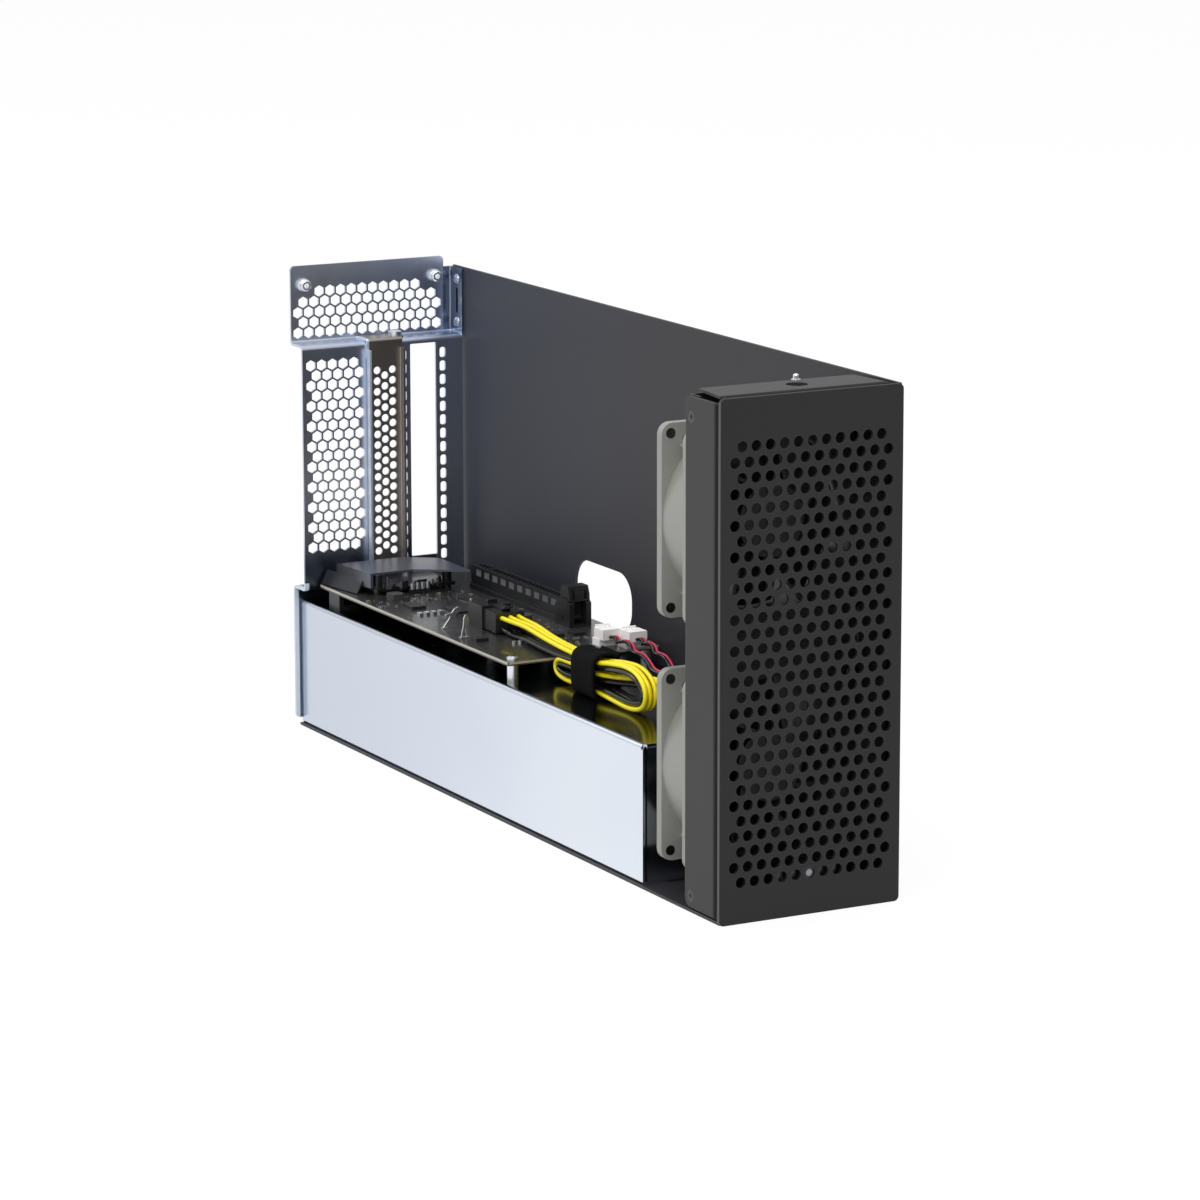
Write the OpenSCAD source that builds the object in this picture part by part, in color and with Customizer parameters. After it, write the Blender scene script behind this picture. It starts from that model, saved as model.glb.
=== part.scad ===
// Expansion chassis for one double-width card, shown with its cover lifted off.
// X runs across (the open side is -X), the grille faces -Y, and Z is up.
// All modules are drawn from the near front bottom corner and then centred by in_frame().

/* [Case] */
// Outside width from the open side to the far wall
case_w = 83; // [83:1:96]
// Length from the grille's face to the back of the rear panel
case_l = 402; // [380:1:440]
// Height of the far wall and of the front plate
case_h = 213; // [208:1:240]
// Thickness of the folded steel sheet
sheet_t = 1.2; // [0.8:0.1:1.6]
// Outside radius of each fold
bend_r = 2.2; // [1.8:0.1:3]

/* [Side window] */
// Length of the window in the far wall
window_l = 53.5; // [30:0.5:60]
// Height of the window
window_h = 27.5; // [25:0.5:32]
// Corner radius of the window
window_r = 12; // [3:0.5:13]
// Distance from the case front to the window
window_y = 224.5; // [200:0.5:260]

/* [Front plate] */
// Thickness of the perforated front plate
plate_t = 1.5; // [1:0.1:2.5]
// Corner radius of the front plate
plate_r = 2.2; // [1:0.1:5]
// Amount by which the front plate passes the open side
plate_lip = 1; // [0.5:0.1:2]
// Diameter of each hole of the grille
grille_d = 4.6; // [3:0.1:5]
// Distance between neighbouring holes of one row
grille_pitch = 6.4; // [5.8:0.1:6.6]
// Distance between two rows
grille_row = 6.3; // [5.8:0.05:6.5]
// Number of rows
grille_rows = 29; // [9:2:29]
// Height of the lowest row
grille_low = 17; // [15:0.5:24]
// Depth of the flanges behind the front plate
frame_depth = 30.4; // [29:0.2:34]

/* [Fans] */
// Width of a fan's square flange
fan_size = 80; // [78:0.5:80]
// Thickness of a fan
fan_t = 25; // [20:1:26]
// Distance between a fan's screw holes
fan_screws_pitch = 71.5; // [66:0.5:72]
// Height of the lower fan's lowest edge
fan_low = 14.6; // [6:0.2:18]
// Space between the two fans
fan_space = 21; // [4:0.5:28]
// Number of blades of a rotor
fan_blades = 7; // [5:1:9]
// Space between a rotor's blades and the barrel
blade_gap = 1; // [0.6:0.1:1.6]
// Radial clearance of a rotor shaft in its bearing
shaft_fit = 0.05; // [0.02:0.01:0.1]

/* [Rear panel] */
// Amount by which the rear panel passes the open side
side_lip = 2; // [1.5:0.1:3]
// Amount by which the upper rear plate rises above the case
top_lip = 4.5; // [2:0.1:6]
// Distance from the shelf of the card brackets to the top of the case
top_space = 31.2; // [30:0.1:36]
// Depth of the recess for the card brackets
recess = 12; // [11:0.1:13]
// Distance between two card slots
slot_pitch = 20.32; // [20:0.01:21]
// Width of a card slot
slot_w = 13.3; // [12:0.1:14]
// Height of the card slots' lower ends above the carrier board
slot_rise = 8.3; // [8:0.1:12]
// Distance from the far wall to the middle of the open card slot
slot_side = 21.8; // [21:0.1:24]
// Distance between neighbouring hexagonal vents
hex_pitch = 5.5; // [5:0.1:5.5]
// Width of a hexagonal vent across its flats
hex_w = 4.7; // [3.5:0.1:4.8]

/* [Slot cover] */
// Width of the slot cover
cover_w = 18.4; // [17:0.1:19]
// Thickness of the slot cover
cover_t = 1; // [0.6:0.1:1.2]
// Diameter of the holes in the slot cover
cover_hole_d = 3.6; // [2.5:0.1:3.9]
// Distance between the holes of one column
cover_pitch = 5.04; // [4.6:0.02:5.2]

/* [Tray] */
// Height of the tray's top face
tray_h = 60.4; // [56:0.2:62]
// Distance from the case front to the tray
tray_y = 66.6; // [62:0.2:72]
// Space between the tray and the far wall
tray_gap = 0.3; // [0.2:0.1:0.6]

/* [Boards] */
// Height of the spacers under the carrier board
spacer_h = 7.5; // [6:0.1:9]
// Thickness of the printed boards
board_t = 1.6; // [1:0.1:2]
// Distance from the far wall to the carrier board
board_side = 2.4; // [2:0.1:4]
// Width of the carrier board
board_w = 75; // [73:0.1:76]
// Length of the carrier board
board_l = 193.1; // [190:0.1:196]
// Diameter of the board screws' shanks
screw_d = 3; // [2.5:0.1:3.5]
// Length of the card slot connector
connector_l = 89; // [88:0.5:90]
// Width of the card slot connector
connector_w = 7.5; // [7:0.1:8.5]
// Height of the card slot connector
connector_h = 11.2; // [10:0.1:12]

/* [Wiring] */
// Outside diameter of a power wire
wire_d = 2.1; // [1.6:0.1:2.2]
// Outside diameter of a fan lead
lead_d = 1.4; // [1:0.1:1.6]

/* [Hidden] */
$fn = 48;
eps = 0.01;

// Overall box and the planes that the pieces share
inlet_rim = 1.6;
box_w = case_w + side_lip;
box_l = case_l + inlet_rim;
wall_in = case_w - sheet_t;
rear_in = case_l - sheet_t;
recess_in = rear_in - recess;
frame_x0 = 0.5;
frame_x1 = wall_in - 0.3;
frame_y0 = plate_t;
plate_in = frame_y0 + sheet_t;
fan_y = frame_depth + 0.2;
fan_x = wall_in - 0.4 - fan_size;
fan_mid_x = fan_x + fan_size / 2;
fan_back = fan_y + fan_t;
fan_low_z = fan_low + fan_size / 2;
fan_high_z = fan_low_z + fan_size + fan_space;
fan_flange = 3.8;
fan_bore = fan_size - 4;
hub_d = 30;
fan_shaft_d = 3;
plate_mid_x = (case_w - plate_lip) / 2;
board_z = tray_h + spacer_h;
board_top = board_z + board_t;
window_z = board_top - 2.6;
shelf_z = case_h - top_space;
slot_top = shelf_z - 3;
slot_h = slot_top - board_top - slot_rise;
slot2_x = wall_in - slot_side;
slot1_x = slot2_x - slot_pitch;
slot_screw_dx = 8.6;
slot_screw_y = recess_in + 6;
hex_row = hex_pitch * sqrt(3) / 2;
hex_rows = floor((slot_h - 13) / hex_row);
ladder_pitch = 6.4;
ladder_steps = floor((slot_h - 4) / ladder_pitch);
cover_rows = floor((slot_h - 15) / cover_pitch);
tray_x0 = 0.9;
tray_x1 = wall_in - tray_gap;
tray_y1 = rear_in - 0.3;
board_y1 = recess_in - 1.7;
board_x1 = wall_in - board_side;
board_x = board_x1 - board_w;
board_y = board_y1 - board_l;
spacer_mid_y = (board_y + board_y1) / 2 + 2;
spacer_at = [[board_x + 4.6, board_y + 4.6], [board_x1 - 4.6, board_y + 4.6],
    [board_x + 42, spacer_mid_y], [board_x1 - 4.6, spacer_mid_y], [board_x1 - 4.6, board_y1 - 25]];
connector_x = slot2_x + 6.3;
connector_y1 = recess_in - 43.7;
connector_y0 = connector_y1 - connector_l;
connector_top = board_top + connector_h;
latch_y = connector_y0 - 6;
latch_z = board_top + 3.2;
module_z = board_top + 1.6;
module_top = module_z + board_t;
shield_top = board_top + 10.6;
plug_x = board_x + 28.1;
plug_w = 12.9;
plug_h = 8.8;
plug_z = board_top + 5.2;
plug_y0 = board_y + 53;
plug_l = 21;
header_y = plug_y0 + plug_l - 8;
supply_y0 = plug_y0 - 42;
supply_y1 = rear_in - 26.3;
supply_h = 42;
vent_l = (supply_y1 - supply_y0) / 4;
inlet_x = 34;
inlet_z = 22;
outlet_x = plug_x + 13.5;
loom_reach = (plug_y0 - fan_back) / 191.4;
lead_reach = (board_y - fan_back) / 138.4;
outlet_y = plug_y0 - 143 * loom_reach;
strap_y = plug_y0 - 95 * loom_reach;

// Points of the wiring, chosen by hand along the real route
plug_route = [
    [0, -0.2, 0], [0, -4, 0], [0, -9, 0.1]];
loom_route = [
    [-1.9, -25, 15.4], [-4.5, -47, 15], [-5.5, -67, 14.4], [-5.5, -82, 14.2], [-5.5, -97, 14.6],
    [-5.5, -111, 16.6], [-5.7, -123, 17.6], [-6, -132, 16.4], [-6.2, -138, 12.6],
    [-6.2, -139, 8], [-6, -135, 4.4], [-5.7, -126, 2.8], [-5.5, -115, 3.1], [-5.5, -103, 4],
    [-5.5, -92, 4.4], [-5.5, -79, 4.2], [-5.5, -69, 3.8], [-5.5, -61.6, 4.5], [-5.5, -59.4, 6.9],
    [-5.5, -62.4, 9.3], [-5.5, -71, 9.6], [-5.5, -83, 9.3], [-5.2, -96, 9.4], [-1.5, -106, 10.4],
    [2.5, -113.5, 12.8], [4.6, -121, 16.4], [6, -129.5, 18.2], [8, -139, 17], [10.5, -147.2, 11.4],
    [12.6, -149.6, 3.6], [13.5, -148.6, -6.4],
    [12.9, -139, -15.4], [11.5, -121, -22], [9.9, -97, -26], [9.5, -69, -28.2]];
power_route = concat([for (p = plug_route) p + [plug_x, plug_y0, plug_z]],
    [for (p = loom_route) [p.x + plug_x, p.y * loom_reach + plug_y0, p.z + tray_h]],
    [[plug_x + 9.5, supply_y0 - 0.2, tray_h - 28.4]]);
upper_lead_route = concat([for (p = [
    [62.6, -2.8, 4.5], [62.6, -7, 4.9]]) p + [board_x, board_y, board_top]],
    [for (p = [
    [61.8, -15, 15.2], [63.2, -23, 11.6], [65.2, -34, 5], [68.6, -64, 2.2], [70.6, -90, 2.2],
    [72, -110, 3.4], [72.6, -124, 7.6]])
        [p.x + board_x, p.y * lead_reach + board_y, p.z + tray_h]],
    [for (p = [
    [72.8, 6.8, -79.6], [72.8, 4.4, -67.6], [72.8, 3.6, -53.6], [72.8, 3.4, -42.6],
    [72.8, 2.8, -37.2], [72.8, 0.3, -36.8]]) p + [board_x, fan_back, fan_high_z]]);
lower_lead_route = concat([for (p = [
    [54.6, 6.8, 4.5], [54.6, 2, 4.8]]) p + [board_x, board_y, board_top]],
    [for (p = [
    [55.4, -7, 14.4], [56.4, -16, 11], [58.6, -28, 4.6], [61.6, -50, 2.2], [64.6, -76, 2.2],
    [66.6, -102, 3], [67.8, -120, 6.6]])
        [p.x + board_x, p.y * lead_reach + board_y, p.z + tray_h]],
    [for (p = [
    [68.2, 8, 18.8], [68.6, 4.4, 27.4], [68.8, 3.2, 33.4],
    [68.8, 0.3, 34]]) p + [board_x, fan_back, fan_low_z]]);

// Placing and drawing helpers
module in_frame() translate([side_lip - box_w / 2, -box_l / 2, 0]) children();
module along_x(x0, x1) translate([x0, 0, 0]) rotate([90, 0, 90]) linear_extrude(x1 - x0) children();
module along_y(y0, y1) translate([0, y1, 0]) rotate([90, 0, 0]) linear_extrude(y1 - y0) children();
module along_z(z0, z1) translate([0, 0, z0]) linear_extrude(z1 - z0) children();
module box(a, b) translate(a) cube(b - a);
module pin_y(x, z, y0, y1, d) translate([x, y0, z]) rotate([-90, 0, 0]) cylinder(h = y1 - y0, d = d);
module pin_x(y, z, x0, x1, d) translate([x0, y, z]) rotate([0, 90, 0]) cylinder(h = x1 - x0, d = d);
module pin_z(x, y, z0, z1, d) translate([x, y, z0]) cylinder(h = z1 - z0, d = d);

// Rectangle from corner a to corner b with round corners
module round_rect(a, b, r) {
    translate([a.x + r, a.y]) square([b.x - a.x - 2 * r, b.y - a.y]);
    translate([a.x, a.y + r]) square([b.x - a.x, b.y - a.y - 2 * r]);
    for (x = [a.x + r, b.x - r], y = [a.y + r, b.y - r]) translate([x, y]) circle(r);
}

// Section of a folded sheet whose middle line runs through the given points
function heading(p, i) = (p[i + 1] - p[i]) / norm(p[i + 1] - p[i]);
module folded(p, t, r = bend_r) {
    mid_r = r - t / 2;
    last = len(p) - 2;
    for (i = [0:last]) {
        d = heading(p, i);
        a = p[i] + d * (i == 0 ? 0 : mid_r);
        b = p[i + 1] - d * (i == last ? 0 : mid_r);
        n = [abs(d.y), abs(d.x)] * t / 2;
        low = [min(a.x, b.x), min(a.y, b.y)] - n;
        translate(low) square([abs(b.x - a.x), abs(b.y - a.y)] + 2 * n);
    }
    for (i = [1:1:last]) {
        s = heading(p, i - 1) - heading(p, i);
        translate(p[i] - s * mid_r) intersection() {
            difference() {
                circle(r);
                circle(r - t);
            }
            translate([min(0, s.x), min(0, s.y)] * r) square(r);
        }
    }
}

// A tube swept along a smooth curve through the given points, moved aside by lane and row
function spline(a, b, c, d, t) = 0.5 * (2 * b + (c - a) * t + (2 * a - 5 * b + 4 * c - d) * t * t
    + (3 * b - a - 3 * c + d) * t * t * t);
function smooth(p, n) = [for (i = [0:len(p) - 2], j = [0:n - 1])
    spline(p[max(i - 1, 0)], p[i], p[i + 1], p[min(i + 2, len(p) - 1)], j / n), p[len(p) - 1]];
function tangent(q, i) = let (v = q[min(i + 1, len(q) - 1)] - q[max(i - 1, 0)]) v / norm(v);
function side_of(q, i) = let (v = [1, 0, 0] - tangent(q, i) * tangent(q, i).x) v / norm(v);
function lane_spread(i, wide) = i < 4 ? 1 + (wide - 1) * (4 - i) / 4 : 1;
module tube(route, d, lane = 0, row = 0, wide = 1, steps = 2, sides = 8) {
    q = smooth(route, steps);
    last = len(q) - 1;
    rings = [for (i = [0:last])
        let (s = side_of(q, i), n = cross(s, tangent(q, i)), k = lane_spread(i, wide))
            for (j = [0:sides - 1])
                let (a = 360 * j / sides)
                    q[i] + s * (lane * k + cos(a) * d / 2) + n * (row * k + sin(a) * d / 2)];
    skin = [for (i = [0:last - 1], j = [0:sides - 1])
        let (a = i * sides, b = (j + 1) % sides) [a + j, a + sides + j, a + sides + b, a + b]];
    ends = [[for (j = [0:sides - 1]) j], [for (j = [sides - 1:-1:0]) last * sides + j]];
    polyhedron(rings, concat(skin, ends));
}

// Screws: a pan head on a shank, drawn with the head's seat at the origin and the shank down
module pan_screw(d, l, head_d, head_h) {
    translate([0, 0, -l]) cylinder(h = l + eps, d = d);
    rotate_extrude() difference() {
        intersection() {
            square([head_d / 2, head_h]);
            translate([0, head_h - head_d]) circle(head_d);
        }
        translate([-eps, head_h * 0.55]) square([head_d * 0.16, head_h]);
    }
}

// Body: the base and the far wall, folded from one sheet
module chassis_body() {
    color("#48474b") in_frame() difference() {
        along_y(frame_y0, rear_in) folded([[0, sheet_t / 2], [case_w - sheet_t / 2, sheet_t / 2],
            [case_w - sheet_t / 2, case_h]], sheet_t);
        along_x(wall_in - 1, case_w + 1)
            round_rect([window_y, window_z], [window_y + window_l, window_z + window_h], window_r);
        for (z = rivet_zs) pin_x(rivet_y, z, wall_in - 1, case_w + 1, rivet_d);
        for (y = tray_screw_ys, x = tray_screw_xs) pin_z(x, y, -1, sheet_t + 1, screw_d);
    }
}
rivet_d = 3;
rivet_y = recess_in + 5.4;
rivet_zs = [shelf_z + 5, case_h - 6];
tray_screw_xs = [tray_x0 + 6.5, tray_x1 - 6.5];
tray_screw_ys = [tray_y + 12, tray_y1 - 14];

// Front plate: the staggered round-hole grille
module front_grille() {
    color("#3d3d3e") in_frame() {
        difference() {
            along_y(0, plate_t) round_rect([-plate_lip, 0], [case_w, case_h], plate_r);
            for (r = [0:grille_rows - 1]) {
                holes = r % 2 == 0 ? 11 : 12;
                for (c = [0:holes - 1])
                    pin_y(plate_mid_x + (c - (holes - 1) / 2) * grille_pitch, grille_low + r * grille_row,
                        -1, plate_t + 1, grille_d);
            }
        }
        for (x = grille_nut_xs, z = grille_nut_zs) pin_y(x, z, plate_t - eps, plate_in + 3.6, 2.5);
    }
}
grille_nut_xs = [12, case_w - 14];
grille_nut_zs = [7, case_h - 7.5];

// Frame behind the front plate, with a flange on each side
module front_frame() {
    far = frame_depth;
    y = frame_y0 + sheet_t / 2;
    low = sheet_t + sheet_t / 2;
    high = case_h - sheet_t / 2;
    side = frame_x0 + sheet_t / 2;
    other = frame_x1 - sheet_t / 2;
    color("#4d4d4d") in_frame() difference() {
        union() {
            along_z(sheet_t + 0.6, case_h - 2.6)
                folded([[side, far], [side, y], [other, y], [other, far]], sheet_t);
            along_x(frame_x0 + 2.2, frame_x1 - 2.2)
                folded([[far - 1, low], [y, low], [y, high], [far - 2, high]], sheet_t);
        }
        along_y(0, plate_in + 1) round_rect([frame_x0 + 3, 11.5], [frame_x1 - 2.4, case_h - 15], 3);
        for (m = [0, 1]) mitre(m, far);
        for (z = frame_screw_zs, x = [frame_x0, frame_x1 - sheet_t]) side_hole(x, z);
        pin_z(plate_mid_x + 3.4, far - 12, case_h - 3, case_h + 1, 9.2);
        pin_z(plate_mid_x + 8, far - 3.4, case_h - 3, case_h + 1, 2.4);
        for (x = grille_nut_xs, z = grille_nut_zs) pin_y(x, z, 0, plate_in + 1, 2.9);
        along_x(-1, case_w) {
            corner_cut([far, sheet_t + 0.6], [1, 0], 4);
            corner_cut([far, case_h - 2.6], [1, 1], 3);
        }
    }
}
// Slanted cut at each end of the top and bottom flanges
module mitre(m, far) {
    x = m == 0 ? frame_x0 + 2.2 : frame_x1 - 2.2;
    side = m == 0 ? 1 : -1;
    for (z = [sheet_t - 1, case_h - 3]) along_z(z, z + 4) {
        polygon([[x - side, plate_in + 3], [x, plate_in + 3], [x + side * 3.2, far + 1],
            [x - side, far + 1]]);
    }
}
// Round corner cut of a flange, drawn in its own plane
module corner_cut(at, sign, r) {
    sy = sign.y == 0 ? 1 : -1;
    translate(at) difference() {
        translate([sign.x > 0 ? -r : -1, sy > 0 ? -1 : -r]) square(r + 1);
        translate([-sign.x * r, sy * r]) circle(r);
    }
}
// Countersunk hole in a side flange, wide on the outside
module side_hole(x, z) {
    near = x < case_w / 2;
    pin_x(frame_screw_y, z, x - 1, x + sheet_t + 1, screw_body_d + 0.1);
    translate([near ? x : x + sheet_t, frame_screw_y, z]) rotate([0, near ? -90 : 90, 0])
        translate([0, 0, -sheet_t - eps])
            cylinder(h = sheet_t + 2 * eps, d1 = screw_body_d + 0.1, d2 = screw_top_d + 0.1);
}
screw_body_d = 2.5;
screw_top_d = 5;
frame_screw_y = frame_depth - 4.4;
frame_screw_zs = [6.5, case_h - 10.8];

// Flat-head screws through the side flanges into the fan plate's ears
module frame_screws() {
    color("#2b2b2c") in_frame() for (z = frame_screw_zs) {
        translate([frame_x0, frame_screw_y, z]) rotate([0, -90, 0]) flat_screw();
        translate([frame_x1, frame_screw_y, z]) rotate([0, 90, 0]) flat_screw();
    }
}
// Flat-head screw, with its flush face at the origin and its shank down
module flat_screw() {
    r = screw_body_d / 2;
    rotate_extrude() polygon([[0, -0.6], [screw_top_d * 0.17, -0.02], [screw_top_d / 2 - 0.06, -0.02],
        [r, -sheet_t - 0.02], [r, -4.4], [0, -4.4]]);
}

// Nuts on the studs of the front plate
module grille_nuts() {
    color("silver") in_frame() for (x = grille_nut_xs, z = grille_nut_zs)
        translate([x, plate_in, z]) rotate([-90, 0, 0]) difference() {
            cylinder(h = 2, d = 5.5, $fn = 6);
            translate([0, 0, -1]) cylinder(h = 4, d = 2.56);
        }
}

// Stud on the top flange that locates the cover
module cover_stud() {
    color("silver") in_frame() translate([plate_mid_x + 8, frame_depth - 3.4, case_h]) rotate_extrude()
        polygon([[0, -2.4], [1.15, -2.4], [1.15, 0], [1.9, 0], [1.9, 0.5], [1.2, 0.6], [1.2, 2.1],
            [0.7, 2.6], [0, 2.6]]);
}

// Light pipe in a hole of the lowest row and the small board behind it
module led_lens() {
    r = grille_d / 2 - 0.05;
    color("#c9cdd0") in_frame() translate([plate_mid_x, plate_t, grille_low]) rotate([90, 0, 0])
        rotate_extrude() {
            square([r, plate_t - 0.6]);
            intersection() {
                translate([0, plate_t - r]) circle(r);
                square([r, plate_t]);
            }
            translate([0, -1.1]) square([r + 0.95, 1.1]);
        }
}
module led_board() {
    color("#1d3b26") in_frame() translate([plate_mid_x, 0, grille_low]) {
        box([-14, plate_in, -11.5], [14, plate_in + 1.2, 4.5]);
        box([-1.8, plate_t + 1.1, -1.8], [1.8, plate_in + eps, 1.8]);
        box([6, plate_in + 1.2 - eps, -8], [12, plate_in + 5, -2]);
    }
}

// Plate that carries both fans, with ears folded forward
module fan_plate() {
    ear = 5.6;
    x0 = frame_x0 + sheet_t;
    x1 = frame_x1 - sheet_t;
    color("#333436") in_frame() difference() {
        along_z(sheet_t * 2 + 0.2, case_h - sheet_t - 1) folded([[x0 + sheet_t / 2, fan_y - 9],
            [x0 + sheet_t / 2, fan_y - sheet_t / 2], [x1 - sheet_t / 2, fan_y - sheet_t / 2],
            [x1 - sheet_t / 2, fan_y - 9]], sheet_t);
        box([0, 0, frame_screw_zs[0] + ear], [case_w, fan_y - sheet_t, frame_screw_zs[1] - ear]);
        for (z = [fan_low_z, fan_high_z]) {
            pin_y(fan_mid_x, z, fan_y - 5, fan_y + 1, fan_bore - 1);
            fan_holes(z) pin_y(0, 0, fan_y - 5, fan_y + 1, 4.4);
        }
        for (z = frame_screw_zs, x = [x0, x1 - sheet_t])
            pin_x(frame_screw_y, z, x - 1, x + sheet_t + 1, screw_body_d + 0.06);
    }
}
module fan_holes(z) {
    for (i = [-1, 1], k = [-1, 1])
        translate([fan_mid_x + i * fan_screws_pitch / 2, 0, z + k * fan_screws_pitch / 2]) children();
}

// Fan frame: two thin square flanges on a round barrel, and the motor's seat on three struts
module fan_frame(z) {
    in_frame() difference() {
        union() {
            for (y = [fan_y, fan_y + fan_t - fan_flange]) along_y(y, y + fan_flange)
                round_rect([fan_x, z - fan_size / 2], [fan_x + fan_size, z + fan_size / 2], 5);
            pin_y(fan_mid_x, z, fan_y + 1, fan_y + fan_t - 1, fan_bore + 3);
            for (a = [20:90:290]) translate([fan_mid_x, 0, z]) rotate([0, a + 25, 0])
                box([fan_bore / 2 - 1, fan_y + 1, -0.9], [fan_size / 2 + 3.6, fan_y + fan_t - 1, 0.9]);
        }
        pin_y(fan_mid_x, z, fan_y - 1, fan_y + fan_t - 3, fan_bore);
        translate([fan_mid_x, 0, z]) difference() {
            pin_y(0, 0, fan_y + fan_t - 3 - eps, fan_y + fan_t + 1, fan_bore);
            pin_y(0, 0, fan_y + fan_t - 4, fan_y + fan_t + 2, hub_d + 1);
            for (a = [0, 120, 240]) rotate([0, a + 40, 0])
                box([0, fan_y + fan_t - 4, -2], [fan_bore / 2 + 2, fan_y + fan_t + 2, 2]);
        }
        fan_holes(z) pin_y(0, 0, fan_y - 1, fan_y + fan_t + 1, 4.3);
    }
    in_frame() difference() {
        pin_y(fan_mid_x, z, fan_y + 8, fan_y + fan_t - 3 + eps, 9);
        pin_y(fan_mid_x, z, fan_y + 4, fan_y + fan_t - 2, fan_shaft_d + 2 * shaft_fit);
    }
}
module upper_fan_frame() color("#7a7a74") fan_frame(fan_high_z);
module lower_fan_frame() color("#7a7a74") fan_frame(fan_low_z);

// Rotor: cup hub with pitched blades and a shaft that runs in the motor's bearing
module fan_rotor(z) {
    tip = fan_bore / 2 - blade_gap;
    low = fan_y + 2;
    high = fan_y + fan_t - 4;
    in_frame() translate([fan_mid_x, 0, z]) {
        difference() {
            pin_y(0, 0, low, high, hub_d);
            pin_y(0, 0, low + 2, high + 1, hub_d - 3);
        }
        for (i = [0:fan_blades - 1]) rotate([0, i * 360 / fan_blades, 0]) intersection() {
            rotor_blade(low, high, tip);
            difference() {
                pin_y(0, 0, low + 1, high - 0.6, tip * 2);
                pin_y(0, 0, low - 1, high + 1, hub_d - 1);
            }
        }
        pin_y(0, 0, low + 1, high - 1, fan_shaft_d);
    }
}
// One blade, curved in section and set across the flow
module rotor_blade(low, high, tip) {
    r = 30;
    mid = (low + high) / 2;
    translate([0, mid, 0]) rotate([0, 90, 0]) rotate(56) translate([-r + 2.4, 0, 0]) intersection() {
        difference() {
            cylinder(h = tip + 2, r = r);
            translate([0, 0, -1]) cylinder(h = tip + 4, r = r - 1.3);
        }
        translate([0, -17, 0]) cube([r + 2, 34, tip + 1]);
    }
}
module upper_fan_rotor() color("#26282a") fan_rotor(fan_high_z);
module lower_fan_rotor() color("#26282a") fan_rotor(fan_low_z);

// Screws that hold the fans to their plate
module fan_screws() {
    color("#303030") in_frame() for (z = [fan_low_z, fan_high_z]) fan_holes(z)
        translate([0, fan_y - sheet_t, 0]) rotate([90, 0, 0]) pan_screw(4.2, sheet_t + 8, 6, 2.2);
}

// Rear panel: one folded sheet with a recess for the card brackets
module rear_panel() {
    mid = sheet_t / 2;
    edge_x = wall_in - 5;
    step_z = board_z - 1.2;
    color("#5f6676") in_frame() difference() {
        union() {
            along_x(-side_lip, wall_in - sheet_t) folded([[recess_in + 1, sheet_t + mid],
                [rear_in + mid, sheet_t + mid], [rear_in + mid, step_z], [recess_in + mid, step_z],
                [recess_in + mid, shelf_z - mid], [rear_in + mid, shelf_z - mid],
                [rear_in + mid, case_h + top_lip]], sheet_t);
            along_z(shelf_z - sheet_t, case_h - 0.6) folded([[edge_x - 4, rear_in + mid],
                [wall_in - mid, rear_in + mid], [wall_in - mid, recess_in + 0.4]], sheet_t);
        }
        upper_corners(edge_x);
        box([-side_lip - 1, recess_in - 1, 0], [tray_x0 + 1.8, rear_in, board_z - 2.4]);
        along_y(rear_in - 1, case_l + 1) corner_cut([-side_lip, sheet_t + bend_r + 0.2], [-1, 0], 2);
        box([-side_lip - 1, rear_in - 1, 0], [tray_x0 + 1.8, case_l + 1, sheet_t + bend_r + 0.2]);
        for (r = [0:upper_hex_rows - 1])
            hex_row_cut(upper_hexes[r], plate_mid_x - 3.7, case_h - 7.9 - r * hex_row, rear_in);
        for (r = [0:hex_rows]) hex_row_cut(5, slot1_x - 26.4 + (r % 2) * hex_pitch / 2,
            slot_top - 6.5 - r * hex_row, recess_in);
        for (r = [0:4])
            hex_row_cut(5, wall_in - 17.8 + (r % 2) * hex_pitch / 2, 30 - r * hex_row, rear_in);
        for (x = [slot1_x, slot2_x]) {
            along_y(recess_in - 1, recess_in + 3)
                round_rect([x - slot_w / 2, slot_top - slot_h], [x + slot_w / 2, slot_top], 0.6);
            pin_z(x + slot_screw_dx, slot_screw_y, shelf_z - 4, shelf_z + 1, 2.9);
            for (i = [0:ladder_steps]) ladder_slot(x + slot_pitch / 2, slot_top - 5 - i * ladder_pitch);
        }
        for (x = host_port_xs) along_y(recess_in - 1, recess_in + 3)
            round_rect([x - 4.8, module_top - 0.3], [x + 4.8, module_top + 3.6], 1.9);
        along_y(rear_in - 1, case_l + 1)
            round_rect([inlet_x - 13.8, inlet_z - 10.3], [inlet_x + 13.8, inlet_z + 10.3], 2);
        for (z = rivet_zs) pin_x(rivet_y, z, wall_in - 2, wall_in + 1, rivet_d);
        along_x(wall_in - 2, wall_in + 1)
            round_rect([rivet_y - 1, rivet_zs[0] + 4], [rivet_y + 1, rivet_zs[1] - 4], 0.95);
        for (x = nut_xs) pin_y(x, nut_z, rear_in - 1, case_l + 1, nut_d);
        for (x = [tray_x0, tray_x1 - 13.2])
            box([x - 4, recess_in, 0], [x + 13.2, rear_in - 0.2, sheet_t + bend_r + 0.2]);
    }
}
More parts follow.
